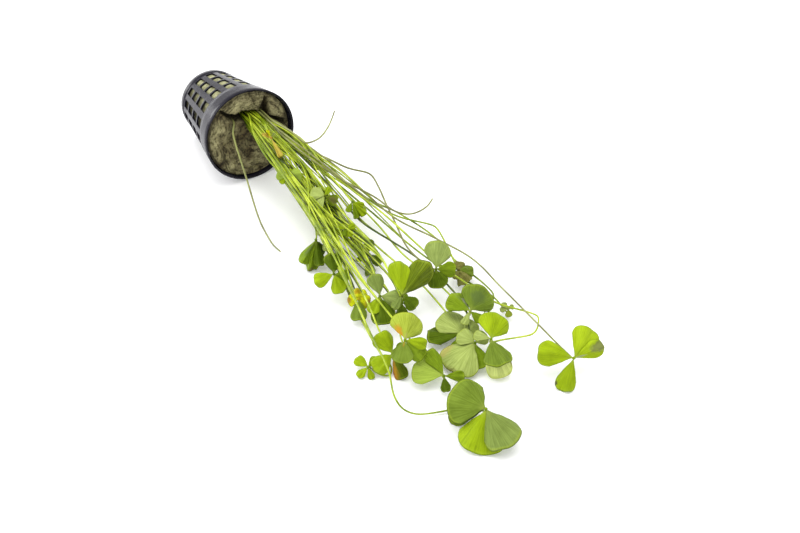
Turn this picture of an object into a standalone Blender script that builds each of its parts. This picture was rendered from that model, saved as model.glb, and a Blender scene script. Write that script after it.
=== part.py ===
"""Water clover (Marsilea, an aquarium fern) rooted in rock wool in a net pot that lies on its side.

Metres, +Z up. The pot lies on its tapered wall with its mouth toward +X. The stems come out
of a cleft in the rock wool, trail along the surface and end in four-part clover leaves. The
origin is on the surface, under the middle of the whole plant's box.

While the model is made, the point under the middle of the pot's mouth is the zero point.
Stems and leaves are placed where one camera above the surface sees them: a place is given as
the column and row of that view, in pixels of an 800 by 533 frame, and a height above the
surface. The camera's own place follows from the pot's known size.
"""

import math
from dataclasses import dataclass

import bmesh
import bpy
import numpy as np
from mathutils import Vector, noise
from mathutils.kdtree import KDTree

MM = 0.001

# The net pot, a standard 5 cm aquarium pot
RIM_RADIUS = 26.4 * MM
BASE_RADIUS = 18.2 * MM
POT_LENGTH = 52.0 * MM
WALL = 1.0 * MM
COLUMNS = 16
WINDOW_ARC = math.radians(13.5)
BAR_ARC = 2 * math.pi / COLUMNS - WINDOW_ARC
COLLAR_DEPTH = 13.4 * MM
WINDOW_ROWS = 4
WINDOW_LENGTH = 7.1 * MM
CROSSBAR = 1.4 * MM
DRAIN_INNER = 8.0 * MM
DRAIN_OUTER = 14.0 * MM

# The rock wool and the cleft across its face
WOOL_GAP = 0.55 * MM
WOOL_RECESS = 2.4 * MM
WOOL_LUMP = 0.9 * MM
WOOL_LUMP_SCALE = 0.009
WOOL_SEGMENTS = 32
CLEFT_SIDE = 3.4 * MM
CLEFT_RISE = 8.0 * MM
CLEFT_WIDTH = 24.0 * MM
CLEFT_HEIGHT = 7.6 * MM
CLEFT_DEPTH = 15.0 * MM

# The stems
STEM_RADIUS = 0.55 * MM
STEM_TIP_RADIUS = 0.42 * MM
STEM_ROOT_ROWS = 4
STEM_ROOT_PITCH = 1.6 * MM
STEM_ROOT_SIDE = 5.2 * MM
STEM_ROOT_DEPTH = 11.0 * MM
STEM_MOUTH = 1.0 * MM
STEM_SMOOTH_STEP = 1.5 * MM
STEM_BEND_KEPT = 0.45 * MM
STEM_LONGEST_RUN = 26.0 * MM
STEM_NECK = 4.0 * MM

# The leaves
HUB_RADIUS = 1.1 * MM
BLADE_THICKNESS = 0.5 * MM
BLADE_ROOT_WIDTH = 0.9 * MM
BLADE_ROOT_SHARE = 0.42
BLADE_WAIST = 0.55
BLADE_SHOULDER = 0.86
BLADE_OVERLAP_ROLL = 14.0
GAP = 0.3 * MM

# How the leaves and stems are eased apart
SETTLE_ROUNDS = 240
SAMPLE_STEP = 1.3 * MM
BLADE_REACH = 0.85 * MM
STEM_REACH = STEM_RADIUS + 0.23 * MM
OWN_HUB_REACH = 4.5 * MM
NEIGHBOURS = 26.0 * MM
LEAST_PUSH = 0.04 * MM
EASE = 0.8
STIFFNESS = 0.06

Point = tuple[float, float]


@dataclass(frozen=True)
class View:
    """The camera that the places of stems and leaves are given in."""

    focal: float = 1100.0
    column: float = 400.0
    row: float = 266.5
    pitch: float = math.radians(44.75)
    height: float = 393.6 * MM
    rim_right: float = -80.5 * MM
    rim_away: float = 471.6 * MM
    pot_heading: float = math.radians(57.05)

    def turned(self, right: float, away: float, rise: float) -> np.ndarray:
        """A direction given from the camera's side, along the pot's own axes."""
        cosine, sine = math.cos(self.pot_heading), math.sin(self.pot_heading)
        return np.array((cosine * right - sine * away, sine * right + cosine * away, rise))

    def eye(self) -> np.ndarray:
        """The camera's place."""
        return self.turned(-self.rim_right, -self.rim_away, self.height)

    def ray(self, place: Point) -> np.ndarray:
        """The unit direction from the camera through a place in the view."""
        across = (place[0] - self.column) / self.focal
        down = (place[1] - self.row) / self.focal
        away = math.cos(self.pitch) - down * math.sin(self.pitch)
        rise = -math.sin(self.pitch) - down * math.cos(self.pitch)
        direction = self.turned(across, away, rise)
        return direction / np.linalg.norm(direction)

    def at_height(self, place: Point, height: float) -> np.ndarray:
        """The point that a place in the view shows, if it is this high above the surface."""
        ray = self.ray(place)
        return self.eye() + ray * ((height - self.eye()[2]) / ray[2])

    def on_plane(self, place: Point, origin: np.ndarray, normal: np.ndarray) -> np.ndarray:
        """The point of a plane that a place in the view shows."""
        ray = self.ray(place)
        return self.eye() + ray * (normal @ (origin - self.eye()) / (normal @ ray))


VIEW = View()


@dataclass(frozen=True)
class Blade:
    """One leaflet: where its outer edge is, and how broad it is for its length.

    The outer edge lies in the leaf's plane, unless a height above the surface is given. The
    roll, in degrees, turns the leaflet about its own length, so that one side of it passes
    over its neighbour.
    """

    tip: Point
    breadth: float = 1.05
    height: float | None = None
    roll: float = BLADE_OVERLAP_ROLL


@dataclass(frozen=True)
class Growth:
    """A stem with its leaf, or a bare stem.

    The route lists places along the stem from the pot to just before its end, and hub is its
    end. It comes down to the hub's height over the share of its run that `landing` gives. Tilt
    and lean turn the leaf's plane from level toward the camera and toward the right, in degrees.
    A stem that stands apart has its own root: up from the pot's axis and across, in metres.
    """

    name: str
    route: tuple[Point, ...]
    hub: Point
    height: float
    landing: float = 0.75
    blades: tuple[Blade, ...] = ()
    tilt: float = 0.0
    lean: float = 0.0
    cup: float = 0.3
    root: Point | None = None


# Leafy stems, listed from the top of the pile down
LEAFY = (
    Growth(
        "orange_by_pot", ((261, 121), (266, 129)), (271, 138), 37.0, 1.0,
        (
            Blade((262, 134), 0.45), Blade((267, 130), 0.4),
            Blade((275, 133), 0.5), Blade((280, 157), 0.3),
        ),
        tilt=30,
    ),
    Growth(
        "by_pot", ((264, 127), (272, 146), (279, 162)), (286, 177), 25.0, 1.0,
        (Blade((277, 173)), Blade((280, 183), 0.7), Blade((302, 179), 1.1), Blade((293, 170), 0.7)),
        tilt=35,
    ),
    Growth(
        "pale_small", ((268, 127), (288, 146), (305, 166), (317, 183)), (325, 196), 24.0, 1.0,
        (Blade((311, 190), 1.3), Blade((330, 187), 0.8), Blade((313, 206), 1.2), Blade((337, 202), 1.1)),
        tilt=30,
    ),
    Growth(
        "hanging", ((272, 125), (300, 147), (320, 163), (338, 182)), (352, 200), 24.0, 1.0,
        (
            Blade((364, 216), 0.45), Blade((356, 219), 0.35),
            Blade((364, 206), 0.4), Blade((347, 212), 0.5),
        ),
        tilt=45,
    ),
    Growth(
        "tiny_cluster", ((268, 132), (298, 160), (322, 188), (337, 210)), (347, 229), 17.0, 1.0,
        (Blade((340, 225)), Blade((355, 225)), Blade((351, 236)), Blade((342, 235))),
        tilt=25,
    ),
    Growth(
        "pale_round", ((262, 133), (284, 162), (303, 190), (317, 215)), (327, 236), 15.0, 1.0,
        (Blade((318, 229)), Blade((328, 251)), Blade((336, 229)), Blade((338, 243), 0.8)),
        tilt=30,
    ),
    Growth(
        "drooping",
        ((254, 137), (267, 158), (281, 173), (300, 198), (311, 213), (315, 225)),
        (316, 238), 16.0, 0.9,
        (
            Blade((302, 264), 0.35, 6.0, 0.0), Blade((311, 271), 0.35, 1.0, 0.0),
            Blade((319, 266), 0.35, 7.0, 0.0), Blade((323, 256), 0.3, 4.0, 0.0),
        ),
        tilt=60,
    ),
    Growth(
        "mid_bright",
        ((271, 131), (299, 158), (325, 190), (347, 218), (366, 238), (380, 256), (392, 278)),
        (402, 296), 15.0, 0.8,
        (Blade((399, 261), 0.72), Blade((430, 262), 0.72), Blade((416, 307)), Blade((393, 308), 0.8)),
        tilt=25,
    ),
    Growth(
        "mid_round",
        (
            (270, 121), (300, 147), (330, 160), (350, 169), (370, 174), (378, 185),
            (385, 200), (396, 222), (408, 247), (420, 260),
        ),
        (436, 269), 14.0, 0.75,
        (Blade((440, 241), 1.25), Blade((456, 270)), Blade((438, 288), 1.4), Blade((421, 276), 0.8)),
        tilt=35,
    ),
    Growth(
        "upper_right",
        ((276, 128), (312, 160), (345, 192), (376, 222), (405, 255), (425, 270), (445, 289), (460, 303)),
        (470, 311), 10.0, 0.7,
        (Blade((485, 287), 1.5), Blade((482, 321), 0.8), Blade((463, 324), 0.7), Blade((452, 293), 1.2)),
        tilt=20,
    ),
    Growth(
        "round_right",
        (
            (277, 125), (300, 139), (325, 169), (350, 190), (380, 213), (410, 240), (440, 266),
            (465, 283), (489, 299), (511, 307), (528, 312), (537, 315), (538, 325), (533, 333),
            (520, 337), (505, 339),
        ),
        (491, 339), 11.0, 0.6,
        (
            Blade((498, 313), 1.4), Blade((501, 364), 1.1, 11.0, 0.0),
            Blade((503, 377), 0.8, 1.0, 0.0), Blade((474, 333), 0.9),
        ),
        tilt=20,
    ),
    Growth(
        "big_pale",
        (
            (272, 130), (305, 160), (335, 192), (362, 222), (390, 240), (415, 256), (432, 270),
            (447, 284), (460, 299), (469, 313), (471, 328),
        ),
        (475, 343), 12.0, 0.65,
        (Blade((447, 368), 1.3), Blade((482, 368), 0.9), Blade((487, 334)), Blade((459, 331))),
        tilt=20,
    ),
    Growth(
        "orange",
        ((266, 135), (292, 166), (320, 201), (346, 236), (369, 265), (389, 288), (398, 315)),
        (405, 340), 12.0, 0.7,
        (
            Blade((411, 315), 1.35), Blade((400, 360), 0.9),
            Blade((424, 358), 0.7, 4.0, 0.0), Blade((427, 344), 0.6, 9.0, 0.0),
        ),
        tilt=30,
    ),
    Growth(
        "centre_high",
        ((263, 134), (290, 168), (318, 202), (344, 230), (362, 252), (375, 275)),
        (380, 296), 12.0, 0.7,
        (Blade((375, 274), 0.95), Blade((370, 312), 0.95), Blade((401, 301), 1.12), Blade((383, 324), 1.1)),
        tilt=30,
    ),
    Growth(
        "lower_left",
        ((260, 136), (284, 170), (310, 207), (335, 245), (356, 280), (371, 310), (379, 330)),
        (393, 354), 12.0, 0.7,
        (Blade((379, 332), 1.1), Blade((373, 369), 1.1), Blade((401, 380), 0.75), Blade((406, 346))),
        tilt=35,
    ),
    Growth(
        "front",
        (
            (259, 138), (282, 172), (308, 211), (331, 250), (350, 288), (365, 322), (379, 350),
            (388, 370), (391, 387), (396, 401), (404, 410), (416, 414), (431, 413), (448, 410),
            (466, 408),
        ),
        (486, 409), 12.0, 0.55,
        (
            Blade((451, 389), 1.5), Blade((511, 445), 1.1, 9.0, 0.0),
            Blade((480, 454), 1.15, 3.0, 0.0), Blade((447, 415), 0.7, 3.0, 0.0),
        ),
        tilt=25,
    ),
    Growth(
        "right",
        (
            (278, 126), (308, 149), (340, 172), (370, 199), (397, 221), (420, 232), (450, 247),
            (474, 261), (497, 284), (528, 315), (551, 338),
        ),
        (574, 358), 11.0, 0.6,
        (
            Blade((538, 350), 0.95), Blade((593, 329), 1.1),
            Blade((604, 346), 0.75), Blade((562, 391), 0.75),
        ),
        tilt=38,
    ),
    Growth(
        "left_edge",
        ((258, 134), (280, 166), (303, 196), (319, 222), (329, 250)),
        (334, 274), 10.0, 0.8,
        (Blade((333, 253), 1.1), Blade((314, 281), 1.0), Blade((340, 293)), Blade((349, 277))),
        tilt=35,
    ),
    Growth(
        "young_dark",
        ((265, 131), (292, 159), (318, 188), (342, 215), (357, 236)),
        (367, 254), 8.0, 0.8,
        (Blade((369, 275), 0.6), Blade((381, 263), 0.8), Blade((371, 239), 0.8), Blade((356, 260), 0.7)),
        tilt=20,
    ),
    Growth(
        "brown_curl",
        (
            (275, 124), (310, 153), (345, 181), (375, 203), (397, 215), (420, 221), (435, 226),
            (442, 238), (449, 251), (454, 261),
        ),
        (459, 270), 8.0, 0.7,
        (Blade((462, 260)), Blade((474, 269)), Blade((466, 282)), Blade((452, 276))),
        tilt=10, cup=0.9,
    ),
    Growth(
        "dark_pair",
        ((273, 134), (306, 170), (336, 205), (366, 236), (393, 260), (417, 280), (434, 298), (448, 315)),
        (463, 334), 8.0, 0.65,
        (Blade((427, 333), 0.85), Blade((445, 313), 1.15), Blade((477, 323)), Blade((456, 351))),
        tilt=15,
    ),
    Growth(
        "centre_low",
        (
            (264, 137), (289, 172), (315, 210), (340, 248), (362, 282), (382, 309), (396, 327),
            (409, 341), (418, 352), (431, 364),
        ),
        (444, 376), 9.0, 0.95,
        (Blade((413, 365), 1.25), Blade((430, 348), 0.7), Blade((465, 376), 0.7), Blade((446, 392), 0.8)),
        tilt=20,
    ),
    Growth(
        "yellow_curl",
        ((261, 139), (286, 174), (310, 212), (332, 246), (349, 277)),
        (359, 299), 9.0, 0.75,
        (Blade((348, 296), 1.2), Blade((357, 319), 0.95), Blade((370, 302), 1.2), Blade((362, 288), 1.2)),
        tilt=15, cup=0.6,
    ),
    Growth(
        "centre_dark",
        ((268, 137), (298, 173), (328, 209), (355, 240), (378, 263), (394, 284)),
        (402, 303), 8.0, 0.7,
        (Blade((414, 303), 1.2), Blade((401, 317)), Blade((391, 306)), Blade((404, 292))),
        tilt=15,
    ),
    Growth(
        "lower_left_small",
        (
            (257, 139), (279, 172), (303, 208), (325, 244), (344, 282), (358, 313), (371, 338),
            (383, 358), (392, 371), (388, 378), (379, 377),
        ),
        (368, 367), 5.0, 0.6,
        (Blade((356, 357)), Blade((357, 376), 0.9), Blade((372, 379), 0.7), Blade((378, 358))),
        tilt=20,
    ),
    Growth(
        "tiny_curl",
        (
            (279, 132), (315, 163), (350, 192), (382, 219), (410, 243), (438, 263), (470, 281),
            (493, 296),
        ),
        (508, 309), 5.0, 0.6,
        (Blade((500, 310)), Blade((509, 317)), Blade((514, 306)), Blade((502, 303))),
        tilt=20,
    ),
)

# Stems with no leaf at their tip
BARE = (
    Growth(
        "lone", ((233, 133), (239, 155), (247, 180), (260, 221), (275, 247)), (281, 252), 1.5, 0.8,
        root=(10.2 * MM, -7.6 * MM),
    ),
    Growth("hair", ((272, 121), (292, 133), (306, 143), (318, 139), (328, 127)), (335, 110), 34.0, 1.0),
    Growth(
        "curled_tip",
        ((276, 130), (310, 158), (343, 180), (375, 197), (395, 211), (410, 214), (425, 208)),
        (433, 198), 17.0, 1.0,
    ),
    Growth("broken", ((274, 127), (306, 152), (332, 173), (352, 187)), (369, 200), 24.0, 1.0),
    Growth(
        "long_bare",
        (
            (278, 129), (311, 156), (342, 181), (370, 201), (396, 213), (420, 227), (440, 242),
            (455, 260), (470, 272), (490, 289), (494, 295), (491, 304),
        ),
        (484, 313), 4.0, 0.75,
    ),
)


def remove_everything() -> None:
    """Empty the scene."""
    for thing in list(bpy.data.objects):
        bpy.data.objects.remove(thing)


def finish_of(name: str, colour: tuple[float, float, float], roughness: float) -> bpy.types.Material:
    """A plain material with one colour."""
    material = bpy.data.materials.new(name)
    material.use_nodes = True
    shader = material.node_tree.nodes["Principled BSDF"]
    shader.inputs["Base Color"].default_value = (*colour, 1.0)
    shader.inputs["Roughness"].default_value = roughness
    shader.inputs["Metallic"].default_value = 0.0
    return material


def new_object(
    name: str, data: bpy.types.ID | None, material: bpy.types.Material | None = None
) -> bpy.types.Object:
    """An object in the scene, with its material."""
    thing = bpy.data.objects.new(name, data)
    bpy.context.scene.collection.objects.link(thing)
    if material is not None:
        data.materials.append(material)
    return thing


def mesh_object(
    name: str, bm: bmesh.types.BMesh, material: bpy.types.Material | None = None
) -> bpy.types.Object:
    """An object that holds the finished bmesh."""
    mesh = bpy.data.meshes.new(name)
    bm.to_mesh(mesh)
    bm.free()
    return new_object(name, mesh, material)


# The pot


def pot_slope() -> float:
    """How far the axis tips up from level when a window column's flat lies on the surface."""
    return math.atan((RIM_RADIUS - BASE_RADIUS) * math.cos(WINDOW_ARC / 2) / POT_LENGTH)


def rim_height() -> float:
    """The height of the middle of the pot's mouth."""
    return RIM_RADIUS * math.cos(WINDOW_ARC / 2) * math.cos(pot_slope())


def wall_radius(depth: float) -> float:
    """The pot's outer radius at a depth behind its mouth."""
    return RIM_RADIUS + (BASE_RADIUS - RIM_RADIUS) * depth / POT_LENGTH


def in_pot(rise: float, side: float, depth: float) -> np.ndarray:
    """A point given in the pot: up from its axis, across, and behind the mouth."""
    slope = pot_slope()
    out = -depth * math.cos(slope) - rise * math.sin(slope)
    up = rim_height() - depth * math.sin(slope) + rise * math.cos(slope)
    return np.array((out, side, up))


def lay_down(thing: bpy.types.Object) -> None:
    """Lay a piece that was made mouth-up, with its mouth at the origin, on its tapered side."""
    thing.rotation_euler = (0.0, math.pi / 2 - pot_slope(), 0.0)
    thing.location = (0.0, 0.0, rim_height())


def window_depths() -> list[tuple[float, float]]:
    """Where each row of windows starts and ends, behind the mouth."""
    pitch = WINDOW_LENGTH + CROSSBAR
    starts = [COLLAR_DEPTH + row * pitch for row in range(WINDOW_ROWS)]
    return [(start, start + WINDOW_LENGTH) for start in starts]


def pot_profile() -> list[tuple[float, float]]:
    """Radius and depth down the pot's outer side and across its base."""
    depths = [0.0, *(depth for row in window_depths() for depth in row), POT_LENGTH]
    side = [(wall_radius(depth), depth) for depth in depths]
    return [*side, (DRAIN_OUTER, POT_LENGTH), (DRAIN_INNER, POT_LENGTH), (0.0, POT_LENGTH)]


def is_opening(centre: Vector) -> bool:
    """Whether the wall has an opening at the middle of a face: a window or a drain hole."""
    sector = 2 * math.pi / COLUMNS
    turn = math.atan2(centre.y, centre.x)
    column = round(turn / sector)
    if abs(turn - column * sector) > WINDOW_ARC / 4:
        return False
    depth = -centre.z
    if any(start < depth < end for start, end in window_depths()):
        return True
    radius = math.hypot(centre.x, centre.y)
    return depth > POT_LENGTH - WALL and DRAIN_INNER < radius < DRAIN_OUTER and column % 2 == 0


def make_pot(material: bpy.types.Material) -> bpy.types.Object:
    """The net pot: its profile swept round in window and bar steps, opened, and given a wall."""
    bm = bmesh.new()
    spine = [bm.verts.new((radius, 0.0, -depth)) for radius, depth in pot_profile()]
    edges = [bm.edges.new(pair) for pair in zip(spine, spine[1:])]
    turn = {"cent": (0.0, 0.0, 0.0), "axis": (0.0, 0.0, 1.0)}
    bmesh.ops.spin(bm, geom=spine + edges, angle=-WINDOW_ARC / 2, steps=1, use_duplicate=False, **turn)
    bmesh.ops.delete(bm, geom=spine, context="VERTS")
    last = list(bm.verts) + list(bm.edges)
    for arc in (WINDOW_ARC, BAR_ARC) * COLUMNS:
        swept = bmesh.ops.spin(bm, geom=last, angle=arc, steps=1, use_duplicate=False, **turn)
        last = swept["geom_last"]
    bmesh.ops.remove_doubles(bm, verts=bm.verts, dist=MM / 100)
    bmesh.ops.recalc_face_normals(bm, faces=bm.faces)
    openings = [face for face in bm.faces if is_opening(face.calc_center_median())]
    bmesh.ops.delete(bm, geom=openings, context="FACES")
    if sum(face.normal.z for face in bm.faces) > 0.0:
        bmesh.ops.reverse_faces(bm, faces=bm.faces)
    pot = mesh_object("net_pot", bm, material)
    wall = pot.modifiers.new("wall", "SOLIDIFY")
    wall.thickness = WALL
    wall.offset = -1.0
    wall.use_even_offset = True
    lay_down(pot)
    return pot


# The rock wool


def wool_profile() -> list[tuple[float, float]]:
    """Radius and depth from the middle of the plug's bottom, up its side, to the middle of its face."""

    def side(depth: float) -> float:
        return wall_radius(depth) - WALL - WOOL_GAP

    bottom = POT_LENGTH - WALL - GAP
    shoulder = WOOL_RECESS + 3.0 * MM
    face = side(WOOL_RECESS)
    return [
        (0.0, bottom),
        (side(bottom), bottom),
        (side(0.55 * POT_LENGTH), 0.55 * POT_LENGTH),
        (side(shoulder), shoulder),
        (face - 1.5 * MM, WOOL_RECESS + 0.6 * MM),
        (0.72 * face, WOOL_RECESS),
        (0.42 * face, WOOL_RECESS),
        (0.0, WOOL_RECESS),
    ]


def make_wool(material: bpy.types.Material) -> bpy.types.Object:
    """The plug: a turned body with a lumpy face, cut by the cleft that the stems grow from."""
    bm = bmesh.new()
    spine = [bm.verts.new((radius, 0.0, -depth)) for radius, depth in wool_profile()]
    edges = [bm.edges.new(pair) for pair in zip(spine, spine[1:])]
    bmesh.ops.spin(
        bm, geom=spine + edges, cent=(0.0, 0.0, 0.0), axis=(0.0, 0.0, 1.0),
        angle=2 * math.pi, steps=WOOL_SEGMENTS, use_merge=True, use_duplicate=False,
    )
    bmesh.ops.remove_doubles(bm, verts=bm.verts, dist=MM / 100)
    for vertex in bm.verts:
        if vertex.co.z > -WOOL_RECESS - MM:
            vertex.co.z += WOOL_LUMP * noise.noise(vertex.co / WOOL_LUMP_SCALE)
    bmesh.ops.recalc_face_normals(bm, faces=bm.faces)
    wool = mesh_object("rock_wool", bm, material)
    lay_down(wool)

    bm = bmesh.new()
    bmesh.ops.create_cube(bm, size=1.0)
    bmesh.ops.scale(bm, verts=bm.verts, vec=(CLEFT_HEIGHT, CLEFT_WIDTH, 2 * CLEFT_DEPTH))
    bmesh.ops.translate(bm, verts=bm.verts, vec=(-CLEFT_RISE, CLEFT_SIDE, 0.0))
    cutter = mesh_object("cleft_cutter", bm)
    cutter.parent = wool
    cutter.hide_render = True
    cutter.display_type = "WIRE"
    cleft = wool.modifiers.new("cleft", "BOOLEAN")
    cleft.operation = "DIFFERENCE"
    cleft.solver = "EXACT"
    cleft.object = cutter
    return wool


# Leaves


class Leaf:
    """A clover leaf: leaflets that fan out from a hub, placed where the view shows them."""

    def __init__(self, growth: Growth) -> None:
        self.growth = growth
        self.hub = VIEW.at_height(growth.hub, growth.height * MM)
        toward = VIEW.turned(0.0, -1.0, 0.0)
        right = VIEW.turned(1.0, 0.0, 0.0)
        normal = toward * math.tan(math.radians(growth.tilt))
        normal += right * math.tan(math.radians(growth.lean))
        normal[2] += 1.0
        self.normal = normal / np.linalg.norm(normal)
        self.toward_eye = -VIEW.ray(growth.hub)
        self.frames = [self.blade_frame(blade) for blade in growth.blades]

    def blade_frame(self, blade: Blade) -> tuple[np.ndarray, np.ndarray, np.ndarray, float]:
        """A leaflet's direction, its sideways and upward directions, and its length."""
        if blade.height is None:
            tip = VIEW.on_plane(blade.tip, self.hub, self.normal)
        else:
            tip = VIEW.at_height(blade.tip, blade.height * MM)
        length = float(np.linalg.norm(tip - self.hub))
        along = (tip - self.hub) / length
        side = np.cross(self.normal, along)
        side /= np.linalg.norm(side)
        up = np.cross(along, side)
        roll = math.radians(blade.roll)
        rolled_side = side * math.cos(roll) + up * math.sin(roll)
        rolled_up = up * math.cos(roll) - side * math.sin(roll)
        return along, rolled_side, rolled_up, length

    def on_blade(self, number: int, reach: float, turn: float) -> np.ndarray:
        """A point of a leaflet's middle surface, at a share of its length and of its half angle."""
        along, side, up, length = self.frames[number]
        half_angle = math.asin(min(0.95, 0.5 * self.growth.blades[number].breadth / 0.95))
        radius = reach * length * (1.0 - (1.0 - BLADE_SHOULDER) * abs(turn) ** 3)
        forward = radius * math.cos(turn * half_angle)
        sideways = radius * math.sin(turn * half_angle)
        sag = self.growth.cup * (sideways**2 + 0.25 * forward**2) / length
        return self.hub + along * forward + side * sideways - up * sag

    def cloud(self) -> np.ndarray:
        """Points spread evenly over every leaflet."""
        points = []
        for number, blade in enumerate(self.growth.blades):
            length = self.frames[number][3]
            rings = max(3, math.ceil(length / (1.6 * SAMPLE_STEP)))
            for ring in range(1, rings + 1):
                reach = ring / rings
                half_width = 0.5 * reach * length * blade.breadth
                spokes = max(1, math.ceil(half_width / (1.6 * SAMPLE_STEP)))
                turns = [spoke / spokes for spoke in range(-spokes, spokes + 1)]
                points += [self.on_blade(number, reach, turn) for turn in turns]
        return np.array(points)

    def order(self) -> list[int]:
        """The leaflets' numbers in order round the hub, starting after the widest space."""
        first = self.frames[0][0]
        across = np.cross(self.normal, first)
        turns = [math.atan2(frame[0] @ across, frame[0] @ first) for frame in self.frames]
        ring = sorted(range(len(turns)), key=turns.__getitem__)
        spaces = [(turns[new] - turns[old]) % (2 * math.pi) for old, new in zip([ring[-1], *ring], ring)]
        start = spaces.index(max(spaces))
        return ring[start:] + ring[:start]

    def root_width(self, number: int) -> float:
        """How wide a leaflet is where it meets the hub: it leaves room for the leaflets beside it."""
        along = self.frames[number][0]
        others = [frame[0] for place, frame in enumerate(self.frames) if place != number]
        nearest = math.acos(min(1.0, max(float(along @ other) for other in others)))
        return min(BLADE_ROOT_WIDTH, 2 * BLADE_ROOT_SHARE * HUB_RADIUS * nearest)

    def add_blade(self, bm: bmesh.types.BMesh, number: int) -> list[bmesh.types.BMVert]:
        """Add one leaflet to the leaf's sheet; returns the two corners where it meets the hub."""
        along, side, _, _ = self.frames[number]
        root = self.hub + along * HUB_RADIUS
        half = side * self.root_width(number) / 2
        start = [bm.verts.new(root - half), bm.verts.new(root + half)]
        waist = [bm.verts.new(self.on_blade(number, BLADE_WAIST, turn)) for turn in (-1.0, 0.0, 1.0)]
        turns = (-1.0, -0.5, 0.0, 0.5, 1.0)
        margin = [bm.verts.new(self.on_blade(number, 1.0, turn)) for turn in turns]
        bm.faces.new((start[0], start[1], waist[1]))
        bm.faces.new((start[0], waist[1], waist[0]))
        bm.faces.new((start[1], waist[2], waist[1]))
        bm.faces.new((waist[0], waist[1], margin[1], margin[0]))
        bm.faces.new((waist[1], margin[2], margin[1]))
        bm.faces.new((waist[1], margin[3], margin[2]))
        bm.faces.new((waist[1], waist[2], margin[4], margin[3]))
        return start

    def build(self, material: bpy.types.Material) -> bpy.types.Object:
        """The leaf as one closed solid: leaflets joined round the hub and given their thickness."""
        bm = bmesh.new()
        middle = bm.verts.new(self.hub)
        roots = [self.add_blade(bm, number) for number in self.order()]
        for root, following in zip(roots, roots[1:] + roots[:1]):
            bm.faces.new((middle, root[0], root[1]))
            outward = (root[1].co + following[0].co) / 2 - middle.co
            if outward.dot(root[1].co - middle.co) > 0.0:
                bm.faces.new((middle, root[1], following[0]))
        bmesh.ops.recalc_face_normals(bm, faces=bm.faces)
        bmesh.ops.triangulate(bm, faces=bm.faces)
        leaf = mesh_object(f"leaf_{self.growth.name}", bm, material)
        body = leaf.modifiers.new("body", "SOLIDIFY")
        body.thickness = BLADE_THICKNESS
        body.offset = 0.0
        return leaf


# Stems


def smooth_curve(points: np.ndarray, step: float) -> np.ndarray:
    """Points about a step apart on a smooth curve through the given ones."""
    padded = np.vstack((2 * points[0] - points[1], points, 2 * points[-1] - points[-2]))
    curve = []
    for before, start, end, after in zip(padded, padded[1:], padded[2:], padded[3:]):
        spans = (start - before, end - start, after - end)
        gaps = [max(math.sqrt(np.linalg.norm(span)), 1e-6) for span in spans]
        middle = (end - start) / gaps[1]
        leave = (start - before) / gaps[0] - (end - before) / (gaps[0] + gaps[1]) + middle
        arrive = middle - (after - start) / (gaps[1] + gaps[2]) + (after - end) / gaps[2]
        leave, arrive = leave * gaps[1], arrive * gaps[1]
        for share in np.arange(0.0, 1.0, min(0.5, step / np.linalg.norm(end - start))):
            square, cube = share**2, share**3
            curve.append(
                (2 * cube - 3 * square + 1) * start + (cube - 2 * square + share) * leave
                + (3 * square - 2 * cube) * end + (cube - square) * arrive
            )
    return np.array([*curve, points[-1]])


def thinned(curve: np.ndarray) -> np.ndarray:
    """The fewest points that keep the curve's bends."""
    run = curve[-1] - curve[0]
    length = np.linalg.norm(run)
    offsets = curve - curve[0]
    away = np.linalg.norm(offsets - np.outer(offsets @ run / length**2, run), axis=1)
    worst = int(away.argmax())
    if len(curve) > 2 and (away[worst] > STEM_BEND_KEPT or length > STEM_LONGEST_RUN):
        split = worst if away[worst] > STEM_BEND_KEPT else len(curve) // 2
        return np.vstack((thinned(curve[: split + 1])[:-1], thinned(curve[split:])))
    return curve[[0, -1]]


class Stem:
    """A stem: the corners of its centre line, which may move, apart from its root."""

    def __init__(self, growth: Growth, root: Point, leaf: Leaf | None) -> None:
        self.growth = growth
        self.leaf = leaf
        inside = in_pot(root[0], root[1], STEM_ROOT_DEPTH)
        mouth = in_pot(root[0], root[1], WOOL_RECESS - STEM_MOUTH)
        points = np.vstack((inside, mouth, *self.route_points(mouth[2])))
        curve = smooth_curve(points[1:], STEM_SMOOTH_STEP)
        if leaf is not None:
            close = np.linalg.norm(curve - leaf.hub, axis=1) > HUB_RADIUS + GAP + 0.1 * MM
            curve = curve[close]
        self.points = np.vstack((inside, thinned(curve)))
        self.free = np.arange(len(self.points)) > 0
        self.shift = np.zeros_like(self.points)

    def route_points(self, mouth_height: float) -> list[np.ndarray]:
        """The stem's places in space: it comes down from the pot's mouth to its end's height."""
        places = np.array((*self.growth.route, self.growth.hub), dtype=float)
        steps = np.linalg.norm(np.diff(places, axis=0), axis=1)
        shares = (np.cumsum((steps[0], *steps))) / (steps.sum() + steps[0])
        end = self.growth.height * MM
        points = []
        for place, share in zip(places, shares):
            fall = min(1.0, share / self.growth.landing)
            height = mouth_height + (end - mouth_height) * fall * fall * (3 - 2 * fall)
            points.append(VIEW.at_height(place, height))
        if self.leaf is not None:
            neck = self.leaf.hub - self.leaf.normal * STEM_NECK
            neck[2] = max(neck[2], 2 * STEM_RADIUS)
            points.insert(-1, neck)
        return points

    def corners(self) -> np.ndarray:
        """The centre line's corners where they have moved to."""
        return self.points + self.shift


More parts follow.
